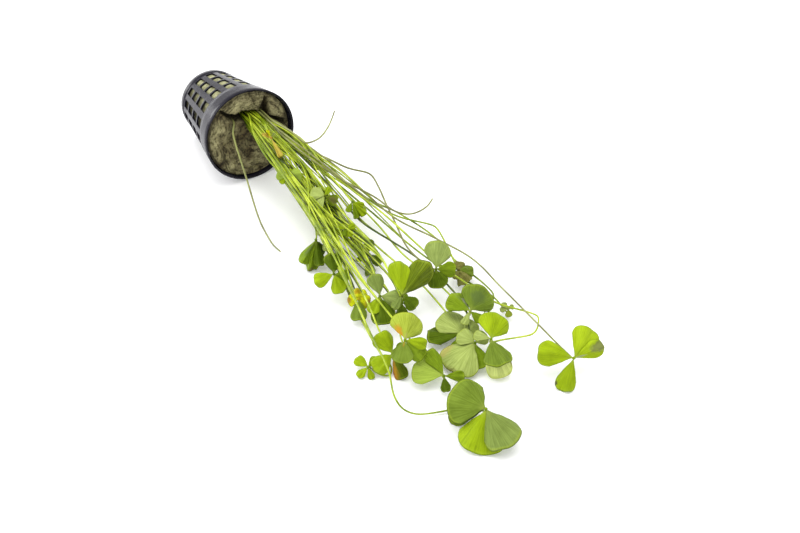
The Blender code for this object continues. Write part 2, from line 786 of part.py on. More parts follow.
class Pile:
    """All stems and leaves, eased apart until none touch.

    A leaf only slides along its line of sight, so the view of it stays as it is. Where a leaf
    and a stem or two leaves touch, they part along that line too, and two stems part along
    the line between them.
    """

    def __init__(self, stems: list[Stem], leaves: list[Leaf]) -> None:
        self.stems = stems
        self.leaves = leaves
        self.clouds = [leaf.cloud() for leaf in leaves]
        self.lifts = np.zeros(len(leaves))
        self.sides: dict[tuple[int, int], float] = {}

    def sample(self) -> None:
        """Collect sample points of every piece, with their reach and what they belong to."""
        places, owners, runs, shares = [], [], [], []
        for number, (leaf, cloud) in enumerate(zip(self.leaves, self.clouds)):
            places.append(cloud + leaf.toward_eye * self.lifts[number])
            owners.append(np.full(len(cloud), number))
            runs.append(np.zeros(len(cloud), dtype=int))
            shares.append(np.zeros(len(cloud)))
        for number, stem in enumerate(self.stems, start=len(self.leaves)):
            corners = stem.corners()
            for run, (start, end) in enumerate(zip(corners, corners[1:])):
                count = max(1, math.ceil(np.linalg.norm(end - start) / SAMPLE_STEP))
                parts = (np.arange(count) + 0.5) / count
                places.append(start + np.outer(parts, end - start))
                owners.append(np.full(count, number))
                runs.append(np.full(count, run))
                shares.append(parts)
        self.places = np.vstack(places)
        self.owners = np.concatenate(owners)
        self.runs = np.concatenate(runs)
        self.shares = np.concatenate(shares)
        self.reaches = np.where(self.owners < len(self.leaves), BLADE_REACH, STEM_REACH)

    def touching(self) -> tuple[np.ndarray, np.ndarray]:
        """Pairs of sample points of different pieces that are too close."""
        tree = KDTree(len(self.places))
        for number, place in enumerate(self.places):
            tree.insert(place, number)
        tree.balance()
        pairs = [
            (number, found[1])
            for number, place in enumerate(self.places)
            for found in tree.find_range(place, self.reaches[number] + BLADE_REACH)
            if found[1] > number
        ]
        first, second = np.array(pairs, dtype=int).reshape(-1, 2).T
        apart = np.linalg.norm(self.places[first] - self.places[second], axis=1)
        reach = self.reaches[first] + self.reaches[second]
        close = (self.owners[first] != self.owners[second]) & (apart < reach)
        hubs = np.array([self.hub_now(number) for number in range(len(self.leaves))])
        carried = self.carried(self.owners[first], self.owners[second])
        hub = hubs[np.minimum(self.owners[first], len(hubs) - 1)]
        at_hub = np.linalg.norm(self.places[second] - hub, axis=1) < OWN_HUB_REACH
        close &= ~(carried & at_hub)
        return first[close], second[close]

    def carried(self, leaf: np.ndarray, stem: np.ndarray) -> np.ndarray:
        """Whether each pair is a leaf and the stem that carries it: both are in the same order."""
        return stem == leaf + len(self.leaves)

    def fronts(self, first: np.ndarray, second: np.ndarray, depth: np.ndarray) -> np.ndarray:
        """For each touching pair, 1 where the first piece belongs nearer the camera, or else -1.

        A stem that passes a neighbour of its own leaf goes with its own leaf, and elsewhere it
        keeps the side that it first met.
        """
        fronts = np.ones(len(first))
        count = len(self.leaves)
        mixed = (self.owners[first] < count) & (self.owners[second] >= count)
        pairs = zip(self.owners[first[mixed]].tolist(), self.owners[second[mixed]].tolist())
        for pair in sorted(set(pairs)):
            leaf, carried = pair[0], pair[1] - count
            if leaf == carried:
                continue
            same = (self.owners[first] == pair[0]) & (self.owners[second] == pair[1])
            nearer = 1.0 if depth[same].mean() > 0.0 else -1.0
            if carried < count and self.hubs_apart(leaf, carried) < NEIGHBOURS:
                nearer = 1.0 if leaf < carried else -1.0
            fronts[same] = self.sides.setdefault(pair, nearer)
        return fronts

    def hubs_apart(self, leaf: int, other: int) -> float:
        """How far apart two leaves' hubs were placed."""
        return float(np.linalg.norm(self.leaves[leaf].hub - self.leaves[other].hub))

    def hub_now(self, number: int) -> np.ndarray:
        """Where a leaf's hub has slid to."""
        leaf = self.leaves[number]
        return leaf.hub + leaf.toward_eye * self.lifts[number]

    def ease(self) -> int:
        """Push every touching pair apart once; returns how many pairs touched."""
        self.sample()
        first, second = self.touching()
        leaf_count = len(self.leaves)
        apart = self.places[first] - self.places[second]
        distance = np.linalg.norm(apart, axis=1)
        sight = VIEW.eye() - self.places[first]
        sight /= np.linalg.norm(sight, axis=1)[:, None]
        depth = np.einsum("ij,ij->i", apart, sight)
        reach = self.reaches[first] + self.reaches[second]
        owner, other = self.owners[first], self.owners[second]
        with_leaf = owner < leaf_count
        front = self.fronts(first, second, depth)
        need = np.where(
            with_leaf,
            np.sqrt(np.maximum(reach**2 - distance**2 + depth**2, 0.0)) - front * depth,
            reach - distance,
        )
        way = np.where(with_leaf[:, None], sight * front[:, None], apart / distance[:, None])
        kept = need > LEAST_PUSH
        move = (0.5 * EASE * need[:, None] * way)[kept]
        first, second, owner, other = first[kept], second[kept], owner[kept], other[kept]
        own = self.carried(owner, other)
        moved = np.concatenate((owner[~own], other[~own]))
        self.move_leaves(moved, np.vstack((move[~own], -move[~own])))
        self.move_stems(np.concatenate((first, second)), np.vstack((move, -move)))
        return int(kept.sum())

    def move_leaves(self, owners: np.ndarray, moves: np.ndarray) -> None:
        """Slide each leaf along its line of sight by its largest pushes, clear of the surface."""
        for number, (leaf, cloud) in enumerate(zip(self.leaves, self.clouds)):
            slides = moves[owners == number] @ leaf.toward_eye
            self.lifts[number] += slides.max(initial=0.0) + slides.min(initial=0.0)
            lowest = cloud[:, 2].min() + leaf.toward_eye[2] * self.lifts[number] - BLADE_THICKNESS
            self.lifts[number] += max(0.0, -lowest / leaf.toward_eye[2])

    def move_stems(self, samples: np.ndarray, moves: np.ndarray) -> None:
        """Move each stem's corners by the mean push beside them, and keep the stem smooth."""
        for number, stem in enumerate(self.stems, start=len(self.leaves)):
            mine = self.owners[samples] == number
            push = np.zeros_like(stem.shift)
            weight = np.full(len(push), 1e-9)
            runs, shares = self.runs[samples[mine]], self.shares[samples[mine]]
            for corner, part in ((runs, 1.0 - shares), (runs + 1, shares)):
                np.add.at(push, corner, moves[mine] * part[:, None])
                np.add.at(weight, corner, part)
            stem.shift[stem.free] += (push / weight[:, None])[stem.free]
            inner = stem.free[1:-1]
            middle = (stem.shift[:-2] + stem.shift[2:]) / 2
            stem.shift[1:-1][inner] += STIFFNESS * (middle - stem.shift[1:-1])[inner]
            if stem.leaf is not None:
                leaf = number - len(self.leaves)
                stem.shift[-1] = stem.leaf.toward_eye * self.lifts[leaf]
            low = STEM_RADIUS + 0.1 * MM - stem.corners()[:, 2]
            stem.shift[:, 2] += np.where(stem.free, np.maximum(0.0, low), 0.0)

    def settle(self) -> None:
        """Ease the pile until nothing touches, then move the leaves to where they ended."""
        for _ in range(SETTLE_ROUNDS):
            if self.ease() == 0:
                break
        for leaf, lift in zip(self.leaves, self.lifts):
            leaf.hub = leaf.hub + leaf.toward_eye * lift


def make_stem(stem: Stem, material: bpy.types.Material) -> bpy.types.Object:
    """The stem as a round tube along its corners, a little thinner toward its tip."""
    corners = stem.corners()
    curve = bpy.data.curves.new(f"stem_{stem.growth.name}", "CURVE")
    curve.dimensions = "3D"
    curve.bevel_depth = STEM_RADIUS
    curve.bevel_resolution = 1
    curve.use_fill_caps = True
    spline = curve.splines.new("POLY")
    spline.points.add(len(corners) - 1)
    for number, (point, corner) in enumerate(zip(spline.points, corners)):
        share = number / (len(corners) - 1)
        point.co = (*corner, 1.0)
        point.radius = 1.0 + (STEM_TIP_RADIUS / STEM_RADIUS - 1.0) * share
    return new_object(curve.name, curve, material)


def root_places(growths: list[Growth]) -> dict[str, Point]:
    """Each stem's place in the cleft: up from the pot's axis and across, in order of where it goes."""
    roots = {growth.name: growth.root for growth in growths if growth.root is not None}
    bundle = [growth for growth in growths if growth.root is None]
    columns = math.ceil(len(bundle) / STEM_ROOT_ROWS)

    def across(growth: Growth) -> float:
        place = growth.route[min(2, len(growth.route) - 1)]
        return float(VIEW.at_height(place, 0.6 * rim_height())[1])

    def nearness(growth: Growth) -> float:
        return growth.height

    ordered = sorted(bundle, key=across)
    for column in range(columns):
        stack = sorted(ordered[column * STEM_ROOT_ROWS : (column + 1) * STEM_ROOT_ROWS], key=nearness)
        for row, growth in enumerate(stack):
            rise = CLEFT_RISE + (row - (STEM_ROOT_ROWS - 1) / 2) * STEM_ROOT_PITCH
            roots[growth.name] = (rise, STEM_ROOT_SIDE + (column - (columns - 1) / 2) * STEM_ROOT_PITCH)
    return roots


def centre_on_origin(pieces: list[bpy.types.Object]) -> None:
    """Hang every piece on one empty, and move that so that the plant's box stands on the origin."""
    plant = new_object("plant", None)
    for piece in pieces:
        piece.parent = plant
    bpy.context.view_layer.update()
    graph = bpy.context.evaluated_depsgraph_get()
    corners = []
    for piece in pieces:
        shape = piece.evaluated_get(graph)
        mesh = shape.to_mesh()
        corners += [shape.matrix_world @ vertex.co for vertex in mesh.vertices]
        shape.to_mesh_clear()
    box = np.array(corners)
    low, high = box.min(axis=0), box.max(axis=0)
    plant.location = (-(low[0] + high[0]) / 2, -(low[1] + high[1]) / 2, -low[2])


def main() -> None:
    """Make the pot, the rock wool, the stems and the leaves."""
    remove_everything()
    black = finish_of("black_plastic", (0.018, 0.017, 0.022), 0.42)
    wool = finish_of("rock_wool", (0.20, 0.17, 0.07), 0.95)
    stalk = finish_of("stem_green", (0.42, 0.52, 0.10), 0.45)
    green = finish_of("leaf_green", (0.26, 0.42, 0.04), 0.5)

    leaves = [Leaf(growth) for growth in LEAFY]
    roots = root_places([*LEAFY, *BARE])
    stems = [Stem(leaf.growth, roots[leaf.growth.name], leaf) for leaf in leaves]
    stems += [Stem(growth, roots[growth.name], None) for growth in BARE]
    Pile(stems, leaves).settle()

    pieces = [make_pot(black), make_wool(wool)]
    pieces += [make_stem(stem, stalk) for stem in stems]
    pieces += [leaf.build(green) for leaf in leaves]
    centre_on_origin(pieces)


main()
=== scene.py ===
"""A water clover in a black net pot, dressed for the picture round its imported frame.

The pot lies on its side with rock wool in it. Stems trail out of a cleft in the wool and end in
four-part clover leaves. Every stem and leaf is read from its frame node and made again with fine
geometry, and the pot and the wool are made from the same plan as the frame.
"""

import logging
import math
from collections.abc import Callable
from dataclasses import dataclass, field
from enum import Enum

import bmesh
import bpy
import numpy as np
from mathutils import Matrix, Vector, noise


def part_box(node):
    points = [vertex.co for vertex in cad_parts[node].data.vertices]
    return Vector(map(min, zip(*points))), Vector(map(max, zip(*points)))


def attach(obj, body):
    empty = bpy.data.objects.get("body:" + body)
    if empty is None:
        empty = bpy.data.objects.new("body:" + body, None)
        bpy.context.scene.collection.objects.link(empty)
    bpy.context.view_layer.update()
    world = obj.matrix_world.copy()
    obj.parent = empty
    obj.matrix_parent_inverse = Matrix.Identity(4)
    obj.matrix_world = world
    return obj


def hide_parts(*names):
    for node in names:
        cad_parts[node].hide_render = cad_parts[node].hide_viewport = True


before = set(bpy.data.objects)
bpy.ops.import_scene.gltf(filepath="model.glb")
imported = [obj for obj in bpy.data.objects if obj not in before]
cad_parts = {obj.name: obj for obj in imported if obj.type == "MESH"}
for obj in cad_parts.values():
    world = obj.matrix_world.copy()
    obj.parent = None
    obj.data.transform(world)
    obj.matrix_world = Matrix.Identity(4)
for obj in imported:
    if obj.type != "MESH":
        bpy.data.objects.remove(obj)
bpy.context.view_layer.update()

logging.basicConfig(level=logging.INFO, format="%(name)s: %(message)s")
LOG = logging.getLogger("water_clover")

MM = 0.001
JOIN = 0.002 * MM
BODY = "root"
UV_NAME = "layout"
PAINTED_SHADE = "hollow"
DRYNESS = "dryness"
LAYER = "layer"

Colour = tuple[float, float, float]
Place = np.ndarray


# Shader building


class Flow:
    """A value on its way through a material; arithmetic on it adds Math nodes."""

    def __init__(self, paint: "Paint", socket: bpy.types.NodeSocket) -> None:
        """Wrap the socket that the value comes out of."""
        self.paint = paint
        self.socket = socket

    def maths(self, operation: str, *values: "Flow | float") -> "Flow":
        """One Math node.

        Args:
            operation: The Math node's operation.
            values: Its inputs, in order.

        Returns:
            The node's result.
        """
        return self.paint.node("ShaderNodeMath", {"operation": operation}, dict(enumerate(values)))

    def __add__(self, other: "Flow | float") -> "Flow":
        """Sum."""
        return self.maths("ADD", self, other)

    __radd__ = __add__

    def __mul__(self, other: "Flow | float") -> "Flow":
        """Product."""
        return self.maths("MULTIPLY", self, other)

    __rmul__ = __mul__

    def __sub__(self, other: "Flow | float") -> "Flow":
        """Difference."""
        return self.maths("SUBTRACT", self, other)

    def __rsub__(self, other: "Flow | float") -> "Flow":
        """Difference, the other way round."""
        return self.maths("SUBTRACT", other, self)

    def __truediv__(self, other: "Flow | float") -> "Flow":
        """Quotient."""
        return self.maths("DIVIDE", self, other)

    def __pow__(self, other: "Flow | float") -> "Flow":
        """Power."""
        return self.maths("POWER", self, other)

    def larger(self, other: "Flow | float") -> "Flow":
        """The larger of two values."""
        return self.maths("MAXIMUM", self, other)

    def to_and_fro(self, height: float) -> "Flow":
        """A zigzag: up to this height and back to 0, over and over, as the value rises."""
        return self.maths("PINGPONG", self, height)

    def step(self, low: float, high: float) -> "Flow":
        """A smooth step from 0 at low to 1 at high.

        Args:
            low: Where it starts; it may be above high, and then the step falls.
            high: Where it ends.

        Returns:
            The stepped value.
        """
        turned = low > high
        start, end = (high, low) if turned else (low, high)
        stepped = self.paint.node(
            "ShaderNodeMapRange",
            {"interpolation_type": "SMOOTHSTEP"},
            {"Value": self, "From Min": start, "From Max": end},
        )
        return 1.0 - stepped if turned else stepped


class Paint:
    """A material with one Principled shader, and the nodes that feed it."""

    def __init__(self, name: str, roughness: float, **constants: float) -> None:
        """Start the material.

        Args:
            name: The material's name.
            roughness: The shader's roughness where nothing feeds it.
            constants: Shader sockets that stay the same all over, with _ for each space.
        """
        self.material = bpy.data.materials.new(name)
        self.material.use_nodes = True
        self.tree = self.material.node_tree
        self.shader = self.tree.nodes["Principled BSDF"]
        self.shader.inputs["Roughness"].default_value = roughness
        for socket, value in constants.items():
            self.shader.inputs[socket.replace("_", " ")].default_value = value

    def node(
        self, kind: str, settings: dict | None = None, inputs: dict | None = None, output: int | str = 0
    ) -> Flow:
        """Add any node.

        Args:
            kind: The node's type.
            settings: Its own settings, set first.
            inputs: Values or flows for its sockets, by name or number.
            output: Which of its outputs to return.

        Returns:
            The chosen output.
        """
        node = self.tree.nodes.new(kind)
        for key, value in (settings or {}).items():
            setattr(node, key, value)
        for key, value in (inputs or {}).items():
            self.feed(node.inputs[key], value)
        return Flow(self, node.outputs[output])

    def feed(self, socket: bpy.types.NodeSocket, value: "Flow | float | tuple") -> None:
        """Link a flow to a socket, or set its value."""
        if isinstance(value, Flow):
            self.tree.links.new(value.socket, socket)
        elif isinstance(value, tuple) and len(value) == 3 and len(socket.default_value) == 4:
            socket.default_value = (*value, 1.0)
        else:
            socket.default_value = value

    def where(self) -> Flow:
        """The place on the piece, in metres."""
        return self.node("ShaderNodeTexCoord", output="Object")

    def parts(self, vector: Flow) -> tuple[Flow, ...]:
        """The three numbers of a vector."""
        split = self.node("ShaderNodeSeparateXYZ", None, {0: vector})
        return tuple(Flow(self, socket) for socket in split.socket.node.outputs)

    def across(self) -> tuple[Flow, Flow]:
        """The two directions of the piece's own UV map."""
        first, second, _ = self.parts(self.node("ShaderNodeUVMap", {"uv_map": UV_NAME}))
        return first, second

    def stretched(
        self, scale: tuple[float, float, float], turn: tuple[float, float, float] = (0.0, 0.0, 0.0)
    ) -> Flow:
        """The place on the piece, turned and then stretched, for grain that runs one way."""
        settings = {"vector_type": "POINT"}
        inputs = {"Vector": self.where(), "Rotation": turn, "Scale": scale}
        return self.node("ShaderNodeMapping", settings, inputs)

    def cloud(self, vector: Flow, scale: float, detail: float = 3.0, roughness: float = 0.55) -> Flow:
        """Noise of about one wave in 1 / scale, from 0 to 1."""
        inputs = {"Vector": vector, "Scale": scale, "Detail": detail, "Roughness": roughness}
        return self.node("ShaderNodeTexNoise", None, inputs)

    def blend(self, share: Flow | float, first: Flow | Colour, second: Flow | Colour) -> Flow:
        """A colour between two, by share."""
        return self.node("ShaderNodeMix", {"data_type": "RGBA"}, {0: share, 6: first, 7: second}, 2)

    def kept(self, name: str) -> Flow:
        """A value that the piece keeps at its corners."""
        return self.node("ShaderNodeAttribute", {"attribute_name": name}, None, "Fac")

    def relief(self, height: Flow, depth: float) -> None:
        """Feed a bump of this depth, in metres, to the shader's normal."""
        bump = self.node("ShaderNodeBump", None, {"Height": height, "Distance": depth, "Strength": 1.0})
        self.feed(self.shader.inputs["Normal"], bump)

    def colour(self, value: Flow | Colour) -> None:
        """Feed the shader's base colour."""
        self.feed(self.shader.inputs["Base Color"], value)

    def gloss(self, value: Flow) -> None:
        """Feed the shader's roughness."""
        self.feed(self.shader.inputs["Roughness"], value)


# Mesh building


def lay_grid(
    bm: bmesh.types.BMesh, columns: int, rows: int, place: Callable[[float, float], Place]
) -> list[bmesh.types.BMFace]:
    """Add a grid, keep its flat shape as UV map, and move it to where it belongs.

    Args:
        bm: The mesh to add to.
        columns: Faces across.
        rows: Faces along.
        place: Gives the place of a corner from how far across and along it is, 0 to 1 each.

    Returns:
        The grid's faces.
    """
    layout = bm.loops.layers.uv.get(UV_NAME) or bm.loops.layers.uv.new(UV_NAME)
    grid = bmesh.ops.create_grid(bm, x_segments=columns, y_segments=rows, size=0.5)["verts"]
    faces = list({face for vertex in grid for face in vertex.link_faces})
    faces.sort(key=lambda face: face.index)
    for face in faces:
        for loop in face.loops:
            loop[layout].uv = (loop.vert.co.x + 0.5, loop.vert.co.y + 0.5)
    for vertex in grid:
        vertex.co = place(vertex.co.x + 0.5, vertex.co.y + 0.5)
    return faces


def finished(
    name: str, bm: bmesh.types.BMesh, slot: str, replaced: str | None, *paints: Paint
) -> bpy.types.Object:
    """Make a bmesh a smooth piece of the plant, and hide the frame node that it takes the place of.

    Args:
        name: The piece's name.
        bm: Its shape, which is freed.
        slot: Not used.
        replaced: The frame node that it takes the place of, if it does.
        paints: Its materials.

    Returns:
        The piece.
    """
    mesh = bpy.data.meshes.new(name)
    bm.to_mesh(mesh)
    bm.free()
    mesh.shade_smooth()
    for paint in paints:
        mesh.materials.append(paint.material)
    piece = bpy.data.objects.new(name, mesh)
    bpy.context.scene.collection.objects.link(piece)
    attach(piece, BODY)
    if replaced is not None:
        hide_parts(replaced)
    LOG.info("%s: %d faces", name, len(mesh.polygons))
    return piece


def unit(vector: Place) -> Place:
    """The vector at length 1."""
    return vector / np.linalg.norm(vector)


def ease(value: float, low: float, high: float) -> float:
    """A smooth step of a number from 0 at low to 1 at high."""
    share = min(1.0, max(0.0, (value - low) / (high - low)))
    return share * share * (3.0 - 2.0 * share)


@dataclass
class Corners:
    """The corners of a frame node, with its loose triangles joined."""

    places: Place
    beside: list[set[int]]

    @classmethod
    def of(cls, node: str) -> "Corners":
        """Read a node.

        Args:
            node: The frame node's name.

        Returns:
            Its corners, and for each one the corners that an edge joins it to.
        """
        bm = bmesh.new()
        bm.from_mesh(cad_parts[node].data)
        bmesh.ops.remove_doubles(bm, verts=bm.verts, dist=JOIN)
        bm.verts.index_update()
        places = np.array([vertex.co for vertex in bm.verts])
        beside = [{edge.other_vert(vertex).index for edge in vertex.link_edges} for vertex in bm.verts]
        bm.free()
        return cls(places, beside)

    def islands(self, left_out: set[int]) -> list[list[int]]:
        """Groups of corners that hang together once some are left out."""
        seen = set(left_out)
        groups = []
        for start in range(len(self.places)):
            if start in seen:
                continue
            group, edge = [], [start]
            seen.add(start)
            while edge:
                corner = edge.pop()
                group.append(corner)
                fresh = self.beside[corner] - seen
                seen |= fresh
                edge.extend(sorted(fresh))
            groups.append(sorted(group))
        return groups


# The pot


@dataclass(frozen=True)
class PotPlastic:
    """Black injection-moulded plastic: faint mottle, dust, scuffs and a soft sheen."""

    roughness: float = 0.28
    specular: float = 0.16
    blackest: Colour = (0.007, 0.006, 0.011)
    black: Colour = (0.015, 0.014, 0.022)
    dusty: Colour = (0.065, 0.060, 0.074)
    dust_share: float = 0.22
    scuff_share: float = 0.12
    grain: float = 0.06 * MM

    def paint(self) -> Paint:
        """Make the material."""
        paint = Paint("pot_plastic", self.roughness, Specular_IOR_Level=self.specular)
        where = paint.where()
        mottle = paint.cloud(where, 240.0)
        dust = paint.cloud(where, 70.0, 4.0).step(0.5, 0.72)
        scratches = paint.stretched((900.0, 900.0, 60.0), (0.0, -0.6, 0.3))
        scuff = paint.cloud(scratches, 1.0, 2.0).step(0.62, 0.78)
        clean = paint.blend(mottle, self.blackest, self.black)
        paint.colour(paint.blend(dust * self.dust_share + scuff * self.scuff_share, clean, self.dusty))
        paint.gloss(0.17 + mottle * 0.12 + dust * 0.14)
        paint.relief(mottle + 0.3 * scuff, self.grain)
        return paint


@dataclass
class NetPot:
    """The black net pot that lies on its tapered side, with its mouth toward +X."""

    rim_radius: float = 26.4 * MM
    base_radius: float = 18.2 * MM
    length: float = 52.0 * MM
    wall: float = 1.0 * MM
    columns: int = 16
    window_arc: float = math.radians(13.5)
    collar: float = 13.4 * MM
    rows: int = 4
    window: float = 7.1 * MM
    crossbar: float = 1.4 * MM
    drain_inner: float = 8.0 * MM
    drain_outer: float = 14.0 * MM
    base_centre: float = 2.0 * MM
    inset: float = 0.3 * MM
    lip: float = 0.25 * MM
    lip_depth: float = 0.3 * MM
    rounding: float = 0.35 * MM
    edge: float = 0.16 * MM
    edge_angle: float = math.radians(50.0)
    window_steps: int = 4
    bar_steps: int = 3
    collar_rings: tuple[float, float] = (0.3, 0.7)
    slack: float = 0.1 * MM

    def __post_init__(self) -> None:
        """Work out how the pot lies."""
        flat = math.cos(self.window_arc / 2)
        self.slope = math.atan((self.rim_radius - self.base_radius) * flat / self.length)
        self.mouth_height = self.rim_radius * flat * math.cos(self.slope)
        low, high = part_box("net_pot")
        mouth = high.x - self.rim_radius * flat * math.sin(self.slope)
        self.mouth = np.array((mouth, (low.y + high.y) / 2, self.mouth_height))
        self.axis = np.array((math.cos(self.slope), 0.0, math.sin(self.slope)))
        self.rise = np.array((-math.sin(self.slope), 0.0, math.cos(self.slope)))
        self.side = np.array((0.0, 1.0, 0.0))
        self.shrink = flat

    def radius(self, depth: float) -> float:
        """The outer radius at a depth behind the mouth."""
        return (self.rim_radius + (self.base_radius - self.rim_radius) * depth / self.length) * self.shrink

    def laid(self, rise: float, side: float, depth: float) -> Place:
        """A place given in the pot: up from its axis, across, and behind its mouth."""
        return self.mouth + self.rise * rise + self.side * side - self.axis * depth

    def in_pot(self, place: Place) -> tuple[float, float, float]:
        """Up from the pot's axis, across, and behind its mouth, of a place."""
        apart = place - self.mouth
        return float(apart @ self.rise), float(apart @ self.side), float(-(apart @ self.axis))

    def window_depths(self) -> list[tuple[float, float]]:
        """Where each row of windows starts and ends, behind the mouth."""
        starts = [self.collar + row * (self.window + self.crossbar) for row in range(self.rows)]
        return [(start, start + self.window) for start in starts]

    def profile(self) -> list[tuple[float, float]]:
        """Radius and depth down the outside, with the collar and the foot a little proud."""
        step = self.rounding
        windows = self.window_depths()
        foot = windows[-1][1] + self.crossbar
        places = [(self.radius(0.0) - self.lip, 0.0), (self.radius(self.lip_depth), self.lip_depth)]
        rings = [share * self.collar for share in self.collar_rings]
        places += [(self.radius(depth), depth) for depth in rings]
        places += [(self.radius(self.collar - 3 * step), self.collar - 3 * step)]
        places += [(self.radius(self.collar - 2 * step) - self.inset, self.collar - 2 * step)]
        for start, end in windows:
            places += [(self.radius(depth) - self.inset, depth) for depth in (start, (start + end) / 2, end)]
        places += [(self.radius(foot - step) - self.inset, foot - step), (self.radius(foot), foot)]
        places += [(self.radius(self.length - step), self.length - step)]
        places += [(self.radius(self.length) - step, self.length)]
        base = (self.drain_outer, self.drain_inner, self.base_centre)
        return places + [(radius, self.length) for radius in base]

    def is_open(self, centre: Vector) -> bool:
        """Whether a face of the shell, by its middle, is in a window or a drain hole."""
        sector = 2 * math.pi / self.columns
        turn = math.atan2(centre.y, centre.x)
        column = round(turn / sector)
        if abs(turn - column * sector) > self.window_arc / 2:
            return False
        if any(start < -centre.z < end for start, end in self.window_depths()):
            return True
        radius = math.hypot(centre.x, centre.y)
        at_base = -centre.z > self.length - self.slack
        return at_base and self.drain_inner < radius < self.drain_outer and column % 2 == 0

    def build(self) -> None:
        """Make the pot: its profile swept round, opened, given a wall and softened edges."""
        bm = bmesh.new()
        spine = [bm.verts.new((radius, 0.0, -depth)) for radius, depth in self.profile()]
        edges = [bm.edges.new(pair) for pair in zip(spine, spine[1:])]
        turn = {"cent": (0.0, 0.0, 0.0), "axis": (0.0, 0.0, 1.0), "use_duplicate": False}
        bar_arc = 2 * math.pi / self.columns - self.window_arc
        first = bmesh.ops.spin(bm, geom=spine + edges, angle=-self.window_arc / 2, steps=1, **turn)
        bmesh.ops.delete(bm, geom=spine, context="VERTS")
        last = [item for item in first["geom_last"] if item.is_valid]
        for arc, steps in ((self.window_arc, self.window_steps), (bar_arc, self.bar_steps)) * self.columns:
            last = bmesh.ops.spin(bm, geom=last, angle=arc, steps=steps, **turn)["geom_last"]
        bmesh.ops.remove_doubles(bm, verts=bm.verts, dist=JOIN)
        openings = [face for face in bm.faces if self.is_open(face.calc_center_median())]
        bmesh.ops.delete(bm, geom=openings, context="FACES")
        inner = {vertex for vertex in bm.verts if vertex.co.xy.length < 1.5 * self.base_centre}
        hole = [edge for edge in bm.edges if edge.is_boundary and inner.issuperset(edge.verts)]
        bmesh.ops.contextual_create(bm, geom=hole)
        bmesh.ops.recalc_face_normals(bm, faces=bm.faces)
        # The shell is open at its mouth, so outward faces look down more than up.
        if sum(face.normal.z * face.calc_area() for face in bm.faces) > 0.0:
            bmesh.ops.reverse_faces(bm, faces=bm.faces)
        lie = Matrix(np.column_stack((-self.rise, self.side, self.axis))).to_4x4()
        bmesh.ops.transform(bm, matrix=Matrix.Translation(self.mouth) @ lie, verts=bm.verts)
        pot = finished("pot_shell", bm, "black_plastic", "net_pot", PotPlastic().paint())
        shell = pot.modifiers.new("wall", "SOLIDIFY")
        shell.thickness = self.wall
        shell.offset = -1.0
        shell.use_even_offset = True
        soft = pot.modifiers.new("edges", "BEVEL")
        soft.width = self.edge
        soft.segments = 2
        soft.limit_method = "ANGLE"
        soft.angle_limit = self.edge_angle
        soft.harden_normals = True


# The rock wool


@dataclass(frozen=True)
class Crease:
    """The cleft across the wool's face, as it runs from the upper left to the lower right.

    Each list goes from left to right, in millimetres: how far across, how far up, half the width,
    and the depth.
    """

    side: tuple[float, ...] = (-24.0, -13.5, -9.5, -5.9, -0.9, 3.4, 7.4, 14.2, 21.1, 26.0)
    rise: tuple[float, ...] = (23.0, 18.6, 13.9, 12.0, 11.4, 9.4, 8.0, 3.8, -0.4, -3.6)
    width: tuple[float, ...] = (0.6, 1.5, 2.4, 2.7, 3.4, 4.6, 4.4, 3.2, 2.4, 1.2)
    depth: tuple[float, ...] = (0.4, 2.6, 6.0, 8.0, 10.5, 11.5, 11.0, 8.0, 4.5, 1.5)

    def at(self, side: float) -> tuple[float, float, float]:
        """The crease's height, half width and depth at a place across the face, in metres."""
        lists = (self.rise, self.width, self.depth)
        return tuple(float(np.interp(side / MM, self.side, values)) * MM for values in lists)


@dataclass(frozen=True)
class Patch:
    """A lighter or darker place on the wool's face: its middle and half sizes in mm, and how much."""

    side: float
    rise: float
    wide: float
    tall: float
    share: float

    def at(self, side: float, rise: float) -> float:
        """How much it adds at a place on the face, given in metres."""
        off = ((side / MM - self.side) / self.wide) ** 2 + ((rise / MM - self.rise) / self.tall) ** 2
        return self.share * math.exp(-off)


@dataclass(frozen=True)
class Ruffle:
    """Smooth noise over the wool's face, in millimetres: its height, its pitch and where it starts."""

    height: float
    pitch: float
    start: tuple[float, float, float] = (0.0, 0.0, 0.0)

    def at(self, here: Vector) -> float:
        """Its height at a place on the face."""
        return self.height * noise.noise(here / self.pitch + Vector(self.start))


